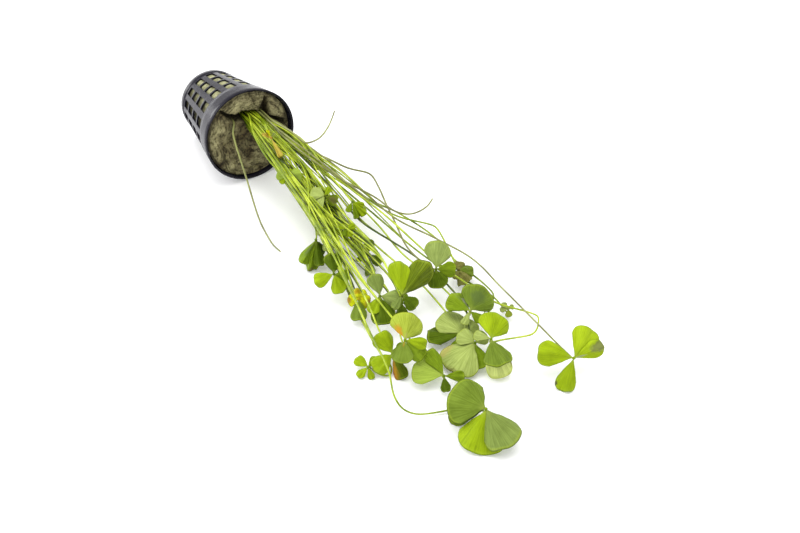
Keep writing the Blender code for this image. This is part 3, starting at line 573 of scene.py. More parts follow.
@dataclass(frozen=True)
class WoolFibre:
    """Olive-brown mineral fibre: felted swirls of strands, damp in places, with painted shade in the folds
    and on the shaded side.
    """

    roughness: float = 0.92
    specular: float = 0.2
    damp: tuple[Colour, Colour] = ((0.016, 0.011, 0.005), (0.105, 0.083, 0.037))
    dry: tuple[Colour, Colour] = ((0.080, 0.071, 0.031), (0.390, 0.358, 0.185))
    window: tuple[Colour, Colour] = ((0.170, 0.165, 0.085), (0.360, 0.360, 0.200))
    # The near black of the painted shade in the folds and on the shaded side
    painted_shade_colour: Colour = (0.016, 0.012, 0.006)
    layer_pitch: float = 0.75
    grain: float = 0.9 * MM

    def paint(self) -> Paint:
        """Make the material."""
        paint = Paint("wool_fibre", self.roughness, Specular_IOR_Level=self.specular)
        where = paint.where()
        felt = paint.cloud(paint.stretched((2200.0, 420.0, 800.0), (0.4, 0.3, 0.5)), 1.0, 3.0)
        strand = paint.cloud(paint.stretched((520.0, 2400.0, 640.0), (-0.5, 0.7, 0.2)), 1.0, 3.0)
        cross = paint.cloud(paint.stretched((420.0, 800.0, 2600.0), (0.2, -0.4, 0.9)), 1.0, 2.0)
        swirl = paint.node(
            "ShaderNodeTexNoise", None,
            {"Vector": where, "Scale": 170.0, "Detail": 3.0, "Roughness": 0.5, "Distortion": 2.6},
        )
        _, down = paint.across()
        outside = down.step(0.39, 0.42)
        _, second, third = paint.parts(where)
        inputs = {0: paint.kept(LAYER) * self.layer_pitch, 1: second * 90.0, 2: third * 90.0}
        rolled = paint.cloud(paint.node("ShaderNodeCombineXYZ", None, inputs), 1.0, 3.0, 0.6)
        fibre = (felt + strand + cross) / 3.0
        lit = (fibre * 0.35 + swirl * 0.30 + rolled * 0.35).step(0.42, 0.58)
        damp, dry, window = (paint.blend(lit, *pair) for pair in (self.damp, self.dry, self.window))
        skin = paint.blend(outside, paint.blend(paint.kept(DRYNESS), damp, dry), window)
        # Painted shade: the folds, the deeper face and the side in the shade darken toward near black.
        paint.colour(paint.blend(paint.kept(PAINTED_SHADE), skin, self.painted_shade_colour))
        paint.relief(fibre * 0.5 + swirl * 0.3 + rolled * 0.6, self.grain)
        return paint


@dataclass
class RockWool:
    """The plug of rock wool in the pot, with the cleft that the stems come out of."""

    pot: NetPot
    crease: Crease = Crease()
    gap: float = 0.3 * MM
    recess: float = 1.1 * MM
    shoulder: float = 1.0 * MM
    around: int = 224
    face_rings: int = 64
    side_rings: int = 96
    bottom_rings: int = 6
    notch_foot: tuple[float, float] = (9.4 * MM, 9.0 * MM)
    notch_tip: tuple[float, float] = (12.1 * MM, 18.6 * MM)
    notch_width: float = 4.4 * MM
    notch_depth: float = 4.6 * MM
    sunk_right: float = 1.1 * MM
    right_span: tuple[float, float] = (12.0 * MM, 24.0 * MM)
    right_top: tuple[float, float] = (12.0 * MM, 18.0 * MM)
    swell_start: float = 0.1 * MM
    swell_full: float = 1.3 * MM
    swell_least: float = 0.55
    swell_more: float = 0.6
    swell_radius: float = 26.0
    swell_pitch: float = 4.0
    sag: float = 0.5
    bar_dip: float = 0.2
    skin: float = 1.2 * MM
    shaded: float = 0.8
    shallow: float = 3.4 * MM
    deep: tuple[float, float] = (5.0 * MM, 10.0 * MM)
    dry_usual: float = 0.30
    dry_wander: float = 0.55
    dry_pitch: float = 4.5 * MM
    dry_slice: float = 4.0 * MM
    rolls: tuple[tuple[float, float], ...] = ((2.6, 9.0 * MM), (0.7, 3.0 * MM))
    roll_middle: tuple[float, float] = (-3.0 * MM, 5.0 * MM)
    wander: Ruffle = Ruffle(0.9, 4.5)
    fold: Ruffle = Ruffle(2.2, 7.5, (3.1, 0.0, 5.2))
    crumple: Ruffle = Ruffle(2.0, 3.4, (9.0, 2.0, 0.7))
    lumps: tuple[Ruffle, ...] = (Ruffle(0.8, 9.0), Ruffle(0.30, 1.6), Ruffle(0.16, 0.8))
    patches: tuple[Patch, ...] = (
        Patch(-2.5, 18.0, 8.0, 5.0, 0.62), Patch(10.6, 20.5, 3.0, 2.5, 0.5),
        Patch(19.5, 10.5, 5.0, 6.0, 0.40), Patch(-17.0, 9.0, 4.5, 5.0, 0.55),
        Patch(-21.5, 0.0, 3.0, 7.0, 0.5), Patch(-13.5, -15.5, 6.0, 2.5, 0.5),
        Patch(4.0, -17.0, 8.0, 3.0, 0.35), Patch(-1.0, -4.0, 9.0, 8.0, -0.22),
        Patch(-9.0, 3.0, 5.0, 4.0, -0.10),
    )

    def outside(self, depth: float) -> float:
        """The plug's radius against the pot's inner wall."""
        return self.pot.radius(depth) - self.pot.inset - self.pot.wall - self.gap

    def notch(self, rise: float, side: float) -> float:
        """How much a place is in the dark notch between the two upper lobes, 0 to 1."""
        (foot_side, foot_rise), (tip_side, tip_rise) = self.notch_foot, self.notch_tip
        up = (rise - foot_rise) / (tip_rise - foot_rise)
        middle = foot_side + (tip_side - foot_side) * up
        half = self.notch_width * (1.0 - 0.78 * min(1.0, max(0.0, up)))
        inside = 1.0 - ease(abs(side - middle), 0.45 * half, half)
        return inside * ease(up, -0.25, 0.05) * (1.0 - ease(up, 0.9, 1.1))

    def face_depth(self, rise: float, side: float) -> float:
        """How deep the face lies behind the mouth at a place across it."""
        here = Vector((rise, side, 0.0)) / MM
        middle, width, deep = self.crease.at(side)
        off = rise - middle - self.wander.at(here) * MM
        cleft = 1.0 - ease(abs(off), 0.3 * width, width)
        lobes = ease(off, 0.2 * width, 1.3 * width + 2 * MM)
        folds = max(0.0, 1.0 - abs(self.fold.at(here)))
        crumples = max(0.0, 1.0 - abs(self.crumple.at(here)))
        creases = 0.55 * folds**3 + 0.35 * crumples**3
        lump = 0.55 * sum(ruffle.at(here) for ruffle in self.lumps)
        right = ease(side, *self.right_span) * (1.0 - ease(rise, *self.right_top))
        face = self.recess + (creases - lump - lobes) * MM + self.sunk_right * right
        return face + deep * cleft + self.notch_depth * self.notch(rise, side)

    def place(self, turn: float, along: float) -> Place:
        """A place on the plug: round it, and from the middle of its face over its side to its bottom.

        Args:
            turn: How far round, 0 to 1.
            along: 0 at the middle of the face, 1 on its rounded shoulder, 2 at the bottom's edge,
                and 3 at the middle of the bottom.

        Returns:
            The place in the frame.
        """
        angle = 2 * math.pi * turn
        bottom = self.pot.length - self.pot.wall - self.gap
        start = self.recess + self.shoulder + self.sunk_right * max(0.0, math.sin(angle)) ** 3
        if along <= 1.0:
            edge = self.outside(start) * (1.0 - (1.0 - along) ** 1.15)
            over = ease(along, 0.80, 1.0)
            rise, side = edge * math.cos(angle), edge * math.sin(angle)
            level = self.face_depth(rise, side)
            return self.pot.laid(rise, side, level + (start - level) * over**2)
        if along <= 2.0:
            depth = start + (bottom - start) * (along - 1.0)
            radius = self.outside(depth) + self.bulge(angle, depth)
            return self.pot.laid(radius * math.cos(angle), radius * math.sin(angle), depth)
        radius = self.outside(bottom) * (3.0 - along)
        return self.pot.laid(radius * math.cos(angle), radius * math.sin(angle), bottom)

    def bulge(self, angle: float, depth: float) -> float:
        """How far the wool swells into the windows, with its lumps."""
        sector = 2 * math.pi / self.pot.columns
        off = abs(angle - round(angle / sector) * sector)
        column = 1.0 - ease(off, 0.30 * self.pot.window_arc, 0.5 * self.pot.window_arc)
        row = max(
            ease(depth, start + self.swell_start, start + self.swell_full)
            * (1.0 - ease(depth, end - self.swell_full, end - self.swell_start))
            for start, end in self.pot.window_depths()
        )
        out = self.swell_radius
        at = Vector((math.cos(angle) * out, math.sin(angle) * out, depth / MM))
        lump = 0.5 + 0.5 * noise.fractal(at / self.swell_pitch, 0.9, 2.1, 2)
        lump = self.swell_least + self.swell_more * min(1.0, max(0.0, lump))
        window = column * row
        sunk = ease(-math.sin(angle), 0.5, 0.8)
        swell = lump * (1.0 - sunk) - self.sag * sunk
        return (window * swell - self.bar_dip * (1.0 - window)) * MM

    def hollow(self, place: Place) -> float:
        """How much painted shade a place gets, 0 to 1: deeper in the face, in the folds and the cleft, and on
        the side that lies in the shade.
        """
        rise, side, depth = self.pot.in_pot(place)
        radius = math.hypot(rise, side)
        # Near the outside, the side that lies in the shade gets painted shade; further in, painted shade
        # grows with depth.
        if radius > self.outside(depth) - self.skin:
            return self.shaded * ease(-side / radius, 0.40, 0.95)
        return 0.75 * ease(depth, self.recess, self.recess + self.shallow) + 0.25 * ease(depth, *self.deep)

    def dryness(self, place: Place) -> float:
        """How dry and pale the face is at a place, 0 to 1, with painted shade in the notch between the lobes.
        """
        rise, side, depth = self.pot.in_pot(place)
        patchy = self.dry_wander * noise.noise(Vector((rise, side, self.dry_slice)) / self.dry_pitch)
        total = self.dry_usual + patchy + sum(patch.at(side, rise) for patch in self.patches)
        # The notch between the lobes is made darker: painted shade in the recess.
        return min(1.0, max(0.0, total - 0.8 * self.notch(rise, side)))

    def layer(self, place: Place) -> float:
        """Which of the rolled layers a place belongs to: across the face they are rings."""
        rise, side, depth = self.pot.in_pot(place)
        here = Vector((rise, side, depth))
        wander = sum(height * noise.noise(here / pitch) for height, pitch in self.rolls)
        up, across = self.roll_middle
        return (math.hypot(rise - up, side - across) + depth) / MM + wander

    def build(self) -> None:
        """Make the plug as one grid wrapped round: face, side and bottom."""
        rows = self.face_rings + self.side_rings + self.bottom_rings
        breaks = (0.0, self.face_rings / rows, (self.face_rings + self.side_rings) / rows, 1.0)

        def place(across: float, down: float) -> Place:
            """Where a corner of the grid goes."""
            return self.place(across, float(np.interp(down, breaks, (0.0, 1.0, 2.0, 3.0))))

        bm = bmesh.new()
        lay_grid(bm, self.around, rows, place)
        bmesh.ops.remove_doubles(bm, verts=bm.verts, dist=JOIN)
        bmesh.ops.recalc_face_normals(bm, faces=bm.faces)
        for name, value in ((PAINTED_SHADE, self.hollow), (DRYNESS, self.dryness), (LAYER, self.layer)):
            kept = bm.verts.layers.float.new(name)
            for vertex in bm.verts:
                vertex[kept] = value(np.array(vertex.co))
        finished("wool_plug", bm, "rock_wool", "rock_wool", WoolFibre().paint())


# The stems


class StemTone(Enum):
    """Dull and bright colours of a stem."""

    LIME = ((0.240, 0.330, 0.007), (0.540, 0.640, 0.046))
    GREEN = ((0.115, 0.180, 0.005), (0.340, 0.440, 0.016))
    SHADE = ((0.030, 0.058, 0.003), (0.110, 0.145, 0.010))
    STRAW = ((0.130, 0.135, 0.040), (0.300, 0.320, 0.100))


@dataclass
class Tube:
    """A round tube along a line, with a radius at each of its points."""

    line: Place
    radii: Place
    sides: int = 10
    aslant: tuple[float, float, float] = (0.3, 0.9, 0.2)

    def frames(self) -> tuple[Place, Place]:
        """Two sideways directions at each point, which turn as little as they can."""
        ahead = np.gradient(self.line, axis=0)
        ahead /= np.linalg.norm(ahead, axis=1)[:, None]
        first = [unit(np.cross(ahead[0], self.aslant))]
        for direction in ahead[1:]:
            first.append(unit(first[-1] - direction * (first[-1] @ direction)))
        first = np.array(first)
        return first, np.cross(ahead, first)

    def lay(self, bm: bmesh.types.BMesh) -> list[bmesh.types.BMFace]:
        """Add the tube to a mesh, and return its wall's faces."""
        first, second = self.frames()
        rows = len(self.line) - 1

        def place(across: float, along: float) -> Place:
            """Where a corner of the tube goes."""
            row = round(along * rows)
            angle = 2 * math.pi * across
            out = first[row] * math.cos(angle) + second[row] * math.sin(angle)
            return self.line[row] + out * self.radii[row]

        return lay_grid(bm, self.sides, rows, place)


def close_tubes(bm: bmesh.types.BMesh) -> None:
    """Close the seams and ends of every tube in a mesh."""
    bmesh.ops.remove_doubles(bm, verts=bm.verts, dist=JOIN)
    bmesh.ops.holes_fill(bm, edges=[edge for edge in bm.edges if edge.is_boundary], sides=0)
    bmesh.ops.recalc_face_normals(bm, faces=bm.faces)


@dataclass
class Stem:
    """One stem, from inside the wool to its leaf or its bare end."""

    name: str
    tone: StemTone
    pot: NetPot
    hub: Place | None = None
    step: float = 1.1 * MM
    root_width: float = 1.4 * MM
    rest: float = 1.12
    swelling: float = 0.08
    swell_pitch: float = 9.0 * MM
    taper: float = 1.2 * MM
    thin_end: float = 0.05
    line: Place = field(init=False)
    radii: Place = field(init=False)
    runs: Place = field(init=False)

    def __post_init__(self) -> None:
        """Read the stem's middle line and thickness from its node."""
        corners = Corners.of(f"stem_{self.name}")
        depth = -(corners.places - self.pot.mouth) @ self.pot.axis
        from_root = np.linalg.norm(corners.places - corners.places[depth.argmax()], axis=1)
        ring = set(np.flatnonzero(from_root < self.root_width).tolist())
        seen = set(ring)
        rings = []
        while ring:
            rings.append(sorted(ring))
            ring = set().union(*(corners.beside[corner] for corner in ring)) - seen
            seen |= ring
        middles = np.array([corners.places[ring].mean(axis=0) for ring in rings])
        radii = [
            np.linalg.norm(corners.places[ring] - middle, axis=1).min()
            for ring, middle in zip(rings, middles)
        ]
        if self.hub is not None:
            middles = np.vstack((middles, self.hub))
            radii.append(radii[-1])
        self.line, shares = self.smoothed(middles)
        self.radii = np.interp(shares, np.arange(len(middles)), radii)
        self.line[:, 2] = np.maximum(self.line[:, 2], self.rest * self.radii)
        self.runs = np.concatenate(((0.0,), np.cumsum(np.linalg.norm(np.diff(self.line, axis=0), axis=1))))

    def smoothed(self, corners: Place) -> tuple[Place, Place]:
        """A smooth line through the corners.

        Args:
            corners: The corners of the middle line.

        Returns:
            Its points, and how many corners along each one is.
        """
        padded = np.vstack((2 * corners[0] - corners[1], corners, 2 * corners[-1] - corners[-2]))
        points, shares = [], []
        for number, (before, start, end, after) in enumerate(zip(padded, padded[1:], padded[2:], padded[3:])):
            steps = (start - before, end - start, after - end)
            gaps = [max(math.sqrt(np.linalg.norm(pair)), 1e-6) for pair in steps]
            paces = [step / gap for step, gap in zip(steps, gaps)]
            leave = paces[0] - (end - before) / (gaps[0] + gaps[1]) + paces[1]
            arrive = paces[1] - (after - start) / (gaps[1] + gaps[2]) + paces[2]
            leave, arrive = leave * gaps[1], arrive * gaps[1]
            count = max(2, round(float(np.linalg.norm(end - start)) / self.step))
            for share in np.arange(count) / count:
                square, cube = share**2, share**3
                points.append(
                    (2 * cube - 3 * square + 1) * start + (cube - 2 * square + share) * leave
                    + (3 * square - 2 * cube) * end + (cube - square) * arrive
                )
                shares.append(number + share)
        return np.array([*points, corners[-1]]), np.array([*shares, len(corners) - 1.0])

    def at(self, run: Place) -> Place:
        """The places on the stem's line this far from its root."""
        return np.column_stack([np.interp(run, self.runs, self.line[:, axis]) for axis in range(3)])

    def build(self, paint: Paint) -> None:
        """Make the stem as a tube that swells and thins a little along its run."""
        to_end = self.runs[-1] - self.runs
        seed = len(self.name)
        wave = np.array([noise.noise(Vector((run / self.swell_pitch, seed, 0.5))) for run in self.runs])
        swell = 1.0 + self.swelling * wave
        if self.hub is None:
            swell *= np.clip(to_end / self.taper, self.thin_end, 1.0) ** 0.5
        bm = bmesh.new()
        Tube(self.line, self.radii * swell).lay(bm)
        close_tubes(bm)
        finished(f"stalk_{self.name}", bm, "stem_green", f"stem_{self.name}", paint)


@dataclass
class FineStalks:
    """Thin young stalks that fill the bundle: each leaves one stem's line and joins another's."""

    name: str
    stems: list[Stem]
    count: int = 46
    seed: int = 5
    step: float = 1.6 * MM
    shortest: float = 62.0 * MM
    longest: float = 150.0 * MM
    thinnest: float = 0.32 * MM
    thickest: float = 0.46 * MM
    bow: float = 1.1 * MM
    bows: float = 2.5
    leave: float = 0.12
    join: float = 0.93
    most: float = 0.9
    start: float = 0.0
    nearest: float = 1.2 * MM
    furthest: float = 17.0 * MM
    sides: int = 8
    rest: float = 1.12
    tones: tuple[StemTone, ...] = (
        StemTone.LIME, StemTone.GREEN, StemTone.LIME, StemTone.SHADE, StemTone.LIME
    )

    def pairs(self, draw: np.random.Generator) -> list[tuple[Stem, Stem, float]]:
        """Stems that run near each other, with how far along them a stalk reaches."""
        found = []
        while len(found) < self.count:
            one, other = draw.choice(len(self.stems), 2, replace=False)
            reach = draw.uniform(self.shortest, self.longest)
            first, second = self.stems[one], self.stems[other]
            reach = min(reach, self.most * first.runs[-1], self.most * second.runs[-1])
            apart = float(np.linalg.norm(first.at(np.array([reach])) - second.at(np.array([reach]))))
            if reach >= self.shortest and self.nearest < apart < self.furthest:
                found.append((first, second, reach))
        return found

    def build(self, paints: dict[StemTone, Paint]) -> None:
        """Make all the stalks as one piece."""
        draw = np.random.default_rng(self.seed)
        used = list(dict.fromkeys(self.tones))
        bm = bmesh.new()
        for number, (first, second, reach) in enumerate(self.pairs(draw)):
            runs = np.arange(self.start, reach, self.step)
            low, high = self.start + self.leave * (reach - self.start), self.join * reach
            share = np.array([ease(run, low, high) for run in runs])[:, None]
            line = first.at(runs) * (1.0 - share) + second.at(runs) * share
            gone = (runs - self.start) / (reach - self.start)
            swing = np.sin(math.pi * gone) * np.sin(self.bows * math.pi * gone + number)
            line += swing[:, None] * self.bow * unit(draw.normal(size=3))
            radii = np.full(len(line), draw.uniform(self.thinnest, self.thickest))
            line[:, 2] = np.maximum(line[:, 2], self.rest * radii)
            for face in Tube(line, radii, self.sides).lay(bm):
                face.material_index = used.index(self.tones[number % len(self.tones)])
        close_tubes(bm)
        finished(self.name, bm, "stem_green", None, *(paints[tone] for tone in used))


@dataclass(frozen=True)
class StemSkin:
    """A stem's skin: painted shade toward its root, with a mottle, fine flecks and a satin gloss."""

    tone: StemTone
    roughness: float = 0.24
    specular: float = 0.45
    root_end: float = 0.22
    root_painted_shade: float = 0.6
    grain: float = 0.08 * MM

    def paint(self) -> Paint:
        """Make the material."""
        name = f"stalk_{self.tone.name.lower()}"
        paint = Paint(name, self.roughness, Specular_IOR_Level=self.specular)
        _, along = paint.across()
        flecks = paint.cloud(paint.stretched((500.0, 500.0, 500.0)), 1.0, 3.0)
        mottle = paint.cloud(paint.where(), 110.0, 2.0).step(0.35, 0.65)
        above = along.step(0.0, self.root_end)
        dull, bright = self.tone.value
        shade = paint.blend(mottle * 0.7 + flecks * 0.3, dull, bright)
        # Painted shade: the stem is darker toward its root, where it lies in the shade of the wool and the
        # bundle.
        root = tuple(self.root_painted_shade * part for part in dull)
        paint.colour(paint.blend(above * 0.75 + 0.25, root, shade))
        paint.relief(flecks, self.grain)
        return paint


# The leaves


class Tone(Enum):
    """A leaflet's colours: between its veins, along them, and at its margin."""

    FRESH = ((0.250, 0.355, 0.005), (0.300, 0.410, 0.009), (0.130, 0.205, 0.003))
    LIT = ((0.300, 0.420, 0.006), (0.360, 0.480, 0.016), (0.170, 0.250, 0.004))
    MID = ((0.165, 0.255, 0.007), (0.210, 0.305, 0.015), (0.085, 0.140, 0.004))
    DULL = ((0.130, 0.195, 0.016), (0.170, 0.240, 0.030), (0.070, 0.110, 0.008))
    DARK = ((0.070, 0.118, 0.003), (0.105, 0.160, 0.007), (0.040, 0.066, 0.002))
    # This grey is painted sheen: a greyed green for leaflets that look grey from the white light they
    # reflect.
    GREY = ((0.175, 0.240, 0.046), (0.215, 0.285, 0.066), (0.095, 0.135, 0.022))
    PALE = ((0.330, 0.410, 0.095), (0.400, 0.475, 0.140), (0.200, 0.240, 0.045))
    SAGE = ((0.255, 0.335, 0.078), (0.315, 0.395, 0.108), (0.150, 0.190, 0.038))
    LEMON = ((0.310, 0.385, 0.032), (0.370, 0.445, 0.058), (0.200, 0.220, 0.012))
    WAN = ((0.700, 0.800, 0.230), (0.780, 0.860, 0.290), (0.420, 0.460, 0.110))
    MILD = ((0.300, 0.410, 0.050), (0.350, 0.465, 0.072), (0.180, 0.245, 0.018))
    YELLOW = ((0.640, 0.690, 0.005), (0.730, 0.770, 0.014), (0.360, 0.260, 0.006))
    AMBER = ((0.530, 0.400, 0.050), (0.620, 0.530, 0.110), (0.300, 0.150, 0.020))
    BROWN = ((0.160, 0.150, 0.030), (0.270, 0.275, 0.080), (0.060, 0.040, 0.010))
    OLIVE = ((0.085, 0.125, 0.004), (0.185, 0.245, 0.010), (0.050, 0.068, 0.002))


class Habit(Enum):
    """How a leaflet has grown or withered: ripple, crumple, margin curl, and fold along its middle."""

    WAVY = (0.045, 0.024, 0.03, 0.04)
    FOLDED = (0.040, 0.030, 0.03, 0.24)
    CURLED = (0.060, 0.040, 0.22, 0.05)
    CRUMPLED = (0.080, 0.150, 0.15, 0.05)


@dataclass(frozen=True)
class Spot:
    """A discoloured place on a leaflet: across it from -1 to 1, out from its base, and its size."""

    across: float
    out: float
    size: float
    colour: Colour


@dataclass(frozen=True)
class Look:
    """One leaflet's look, named by the hour that it points to in the picture.

    The tip of a withered or folded leaflet may reach further, or less far, than its plain solid.
    """

    hour: float
    tone: Tone
    habit: Habit = Habit.WAVY
    spots: tuple[Spot, ...] = ()
    broader: float = 1.0
    longer: float = 1.0


# What a leaflet has until it is dressed
PLAIN = Look(0.0, Tone.MID)

# Colours of spots
RUST = (0.250, 0.110, 0.030)
RED = (0.300, 0.060, 0.020)
UMBER = (0.120, 0.110, 0.030)
SMUDGE = (0.150, 0.160, 0.060)
SLATE = (0.090, 0.135, 0.028)
ASH = (0.330, 0.350, 0.250)
PINK = (0.370, 0.330, 0.095)
SOOT = (0.045, 0.035, 0.015)
ORANGE = (0.480, 0.230, 0.020)
AMBERED = (0.420, 0.250, 0.010)

# Each leaf's four leaflets, by the hour that they point to in the picture
LOOKS: dict[str, tuple[Look, ...]] = {
    "orange_by_pot": (
        Look(9.8, Tone.AMBER, Habit.CRUMPLED), Look(11.1, Tone.YELLOW, Habit.CRUMPLED),
        Look(1.3, Tone.PALE, Habit.CURLED), Look(5.2, Tone.AMBER, Habit.CURLED),
    ),
    "by_pot": (Look(9.8, Tone.MILD), Look(7.5, Tone.LIT), Look(3.2, Tone.MILD), Look(1.5, Tone.LIT)),
    "pale_small": (
        Look(9.8, Tone.PALE), Look(1.0, Tone.FRESH), Look(7.7, Tone.PALE),
        Look(3.9, Tone.OLIVE, Habit.WAVY, (Spot(0.0, 0.6, 0.5, UMBER),)),
    ),
    "hanging": (
        Look(4.8, Tone.FRESH, Habit.CURLED), Look(5.6, Tone.MID, Habit.CURLED),
        Look(3.9, Tone.FRESH), Look(6.8, Tone.MID),
    ),
    "tiny_cluster": (Look(10.0, Tone.LIT), Look(2.1, Tone.FRESH), Look(5.0, Tone.LIT), Look(7.3, Tone.MID)),
    "pale_round": (Look(10.3, Tone.PALE), Look(5.9, Tone.PALE), Look(1.7, Tone.MID), Look(4.1, Tone.FRESH)),
    "drooping": (
        Look(6.9, Tone.MID, Habit.FOLDED, (Spot(-0.2, 0.4, 0.40, SLATE),)),
        Look(6.3, Tone.MID, Habit.CRUMPLED, (Spot(0.0, 1.02, 0.20, UMBER),)),
        Look(5.8, Tone.DARK, Habit.FOLDED), Look(5.3, Tone.DARK, Habit.FOLDED),
    ),
    "mid_bright": (
        Look(11.8, Tone.FRESH, broader=1.1), Look(1.3, Tone.OLIVE, Habit.FOLDED), Look(4.3, Tone.DARK),
        Look(7.2, Tone.GREY),
    ),
    "mid_round": (Look(0.3, Tone.SAGE), Look(3.1, Tone.MID), Look(5.8, Tone.DARK), Look(8.2, Tone.DULL)),
    "upper_right": (
        Look(1.1, Tone.DULL, Habit.WAVY, (Spot(0.0, 0.55, 0.42, SLATE),)), Look(4.3, Tone.MID),
        Look(6.9, Tone.PALE), Look(10.5, Tone.MID, Habit.FOLDED, (Spot(-0.6, 0.45, 0.30, ASH),)),
    ),
    "round_right": (
        Look(0.5, Tone.FRESH), Look(5.25, Tone.DULL), Look(9.6, Tone.PALE),
        Look(5.5, Tone.WAN, Habit.WAVY, (Spot(0.9, 1.0, 0.14, UMBER),), 1.1),
    ),
    "big_pale": (
        Look(
            7.6, Tone.PALE, Habit.WAVY, (Spot(-0.7, 0.85, 0.26, PINK), Spot(0.1, 1.04, 0.22, UMBER)),
            broader=1.2,
        ),
        Look(5.5, Tone.MID), Look(1.8, Tone.PALE, broader=1.3), Look(10.2, Tone.PALE, broader=1.35),
    ),
    "orange": (
        Look(
            0.4, Tone.LEMON, Habit.FOLDED, (Spot(0.9, 0.45, 0.34, ORANGE), Spot(0.0, 0.05, 0.26, PINK)),
            1.15, 1.08,
        ),
        Look(6.4, Tone.DULL, Habit.WAVY, (Spot(0.0, 0.0, 0.28, ORANGE),), 1.45, 1.12),
        Look(4.5, Tone.MID, broader=1.2), Look(3.4, Tone.FRESH, broader=1.2),
    ),
    "centre_high": (Look(11.6, Tone.GREY), Look(7.1, Tone.FRESH), Look(3.4, Tone.SAGE), Look(5.8, Tone.DARK)),
    "lower_left": (
        Look(10.9, Tone.FRESH), Look(7.8, Tone.FRESH),
        Look(5.4, Tone.OLIVE, Habit.FOLDED, (Spot(-0.9, 0.7, 0.75, ORANGE), Spot(-0.8, 1.0, 0.35, RED))),
        Look(1.9, Tone.MID),
    ),
    "front": (
        Look(10.0, Tone.DULL, broader=1.12), Look(4.8, Tone.GREY), Look(6.3, Tone.FRESH, broader=1.2),
        Look(8.7, Tone.DARK),
    ),
    "right": (
        Look(9.4, Tone.FRESH),
        Look(1.1, Tone.LIT, Habit.WAVY, (Spot(-0.75, 0.75, 0.24, SMUDGE), Spot(-0.95, 0.92, 0.09, SOOT))),
        Look(2.3, Tone.LIT, Habit.WAVY, (Spot(0.1, 0.85, 0.40, SMUDGE), Spot(-0.3, 0.2, 0.24, ASH))),
        Look(6.7, Tone.FRESH, Habit.WAVY, (Spot(-0.7, 1.0, 0.12, SOOT),)),
    ),
    "left_edge": (Look(11.9, Tone.DARK), Look(8.4, Tone.FRESH), Look(5.4, Tone.FRESH), Look(3.4, Tone.MID)),
    "young_dark": (
        Look(5.8, Tone.DARK, Habit.CURLED), Look(4.1, Tone.DARK), Look(0.5, Tone.DARK), Look(8.0, Tone.DARK),
    ),
    "brown_curl": (
        Look(0.6, Tone.BROWN, Habit.CRUMPLED), Look(2.9, Tone.DULL, Habit.CRUMPLED),
        Look(5.0, Tone.BROWN, Habit.CRUMPLED), Look(7.6, Tone.BROWN, Habit.CRUMPLED),
    ),
    "dark_pair": (
        Look(9.1, Tone.DARK), Look(10.6, Tone.PALE, broader=1.3, longer=1.05),
        Look(1.7, Tone.PALE, broader=1.2), Look(6.7, Tone.MID),
    ),
    "centre_low": (Look(9.7, Tone.MILD), Look(11.1, Tone.MID), Look(3.0, Tone.MID), Look(5.8, Tone.DARK)),
    "yellow_curl": (
        Look(9.5, Tone.YELLOW, Habit.CRUMPLED, (Spot(0.3, 0.9, 0.34, RUST),)),
        Look(6.5, Tone.DULL, broader=0.72),
        Look(3.5, Tone.YELLOW, Habit.CRUMPLED, (Spot(0.0, 0.9, 0.4, RUST),)),
        Look(0.5, Tone.YELLOW, Habit.CRUMPLED, (Spot(0.4, 0.7, 0.34, AMBERED),)),
    ),
    "centre_dark": (Look(3.0, Tone.DARK), Look(6.1, Tone.DARK), Look(8.5, Tone.MID), Look(0.3, Tone.MID)),
    "lower_left_small": (
        Look(10.3, Tone.LIT), Look(7.7, Tone.LIT), Look(5.4, Tone.FRESH), Look(1.6, Tone.FRESH),
    ),
    "tiny_curl": (Look(8.8, Tone.PALE), Look(5.8, Tone.LEMON), Look(2.1, Tone.PALE), Look(10.5, Tone.PALE)),
}

# How strongly the leaflets of a leaf are cupped, and how much broader they are than in the frame
CUPS = {"brown_curl": 0.9, "yellow_curl": 0.6}
BROADER = {"drooping": 1.5, "by_pot": 1.55, "hanging": 1.3, "yellow_curl": 1.45, "brown_curl": 1.25}


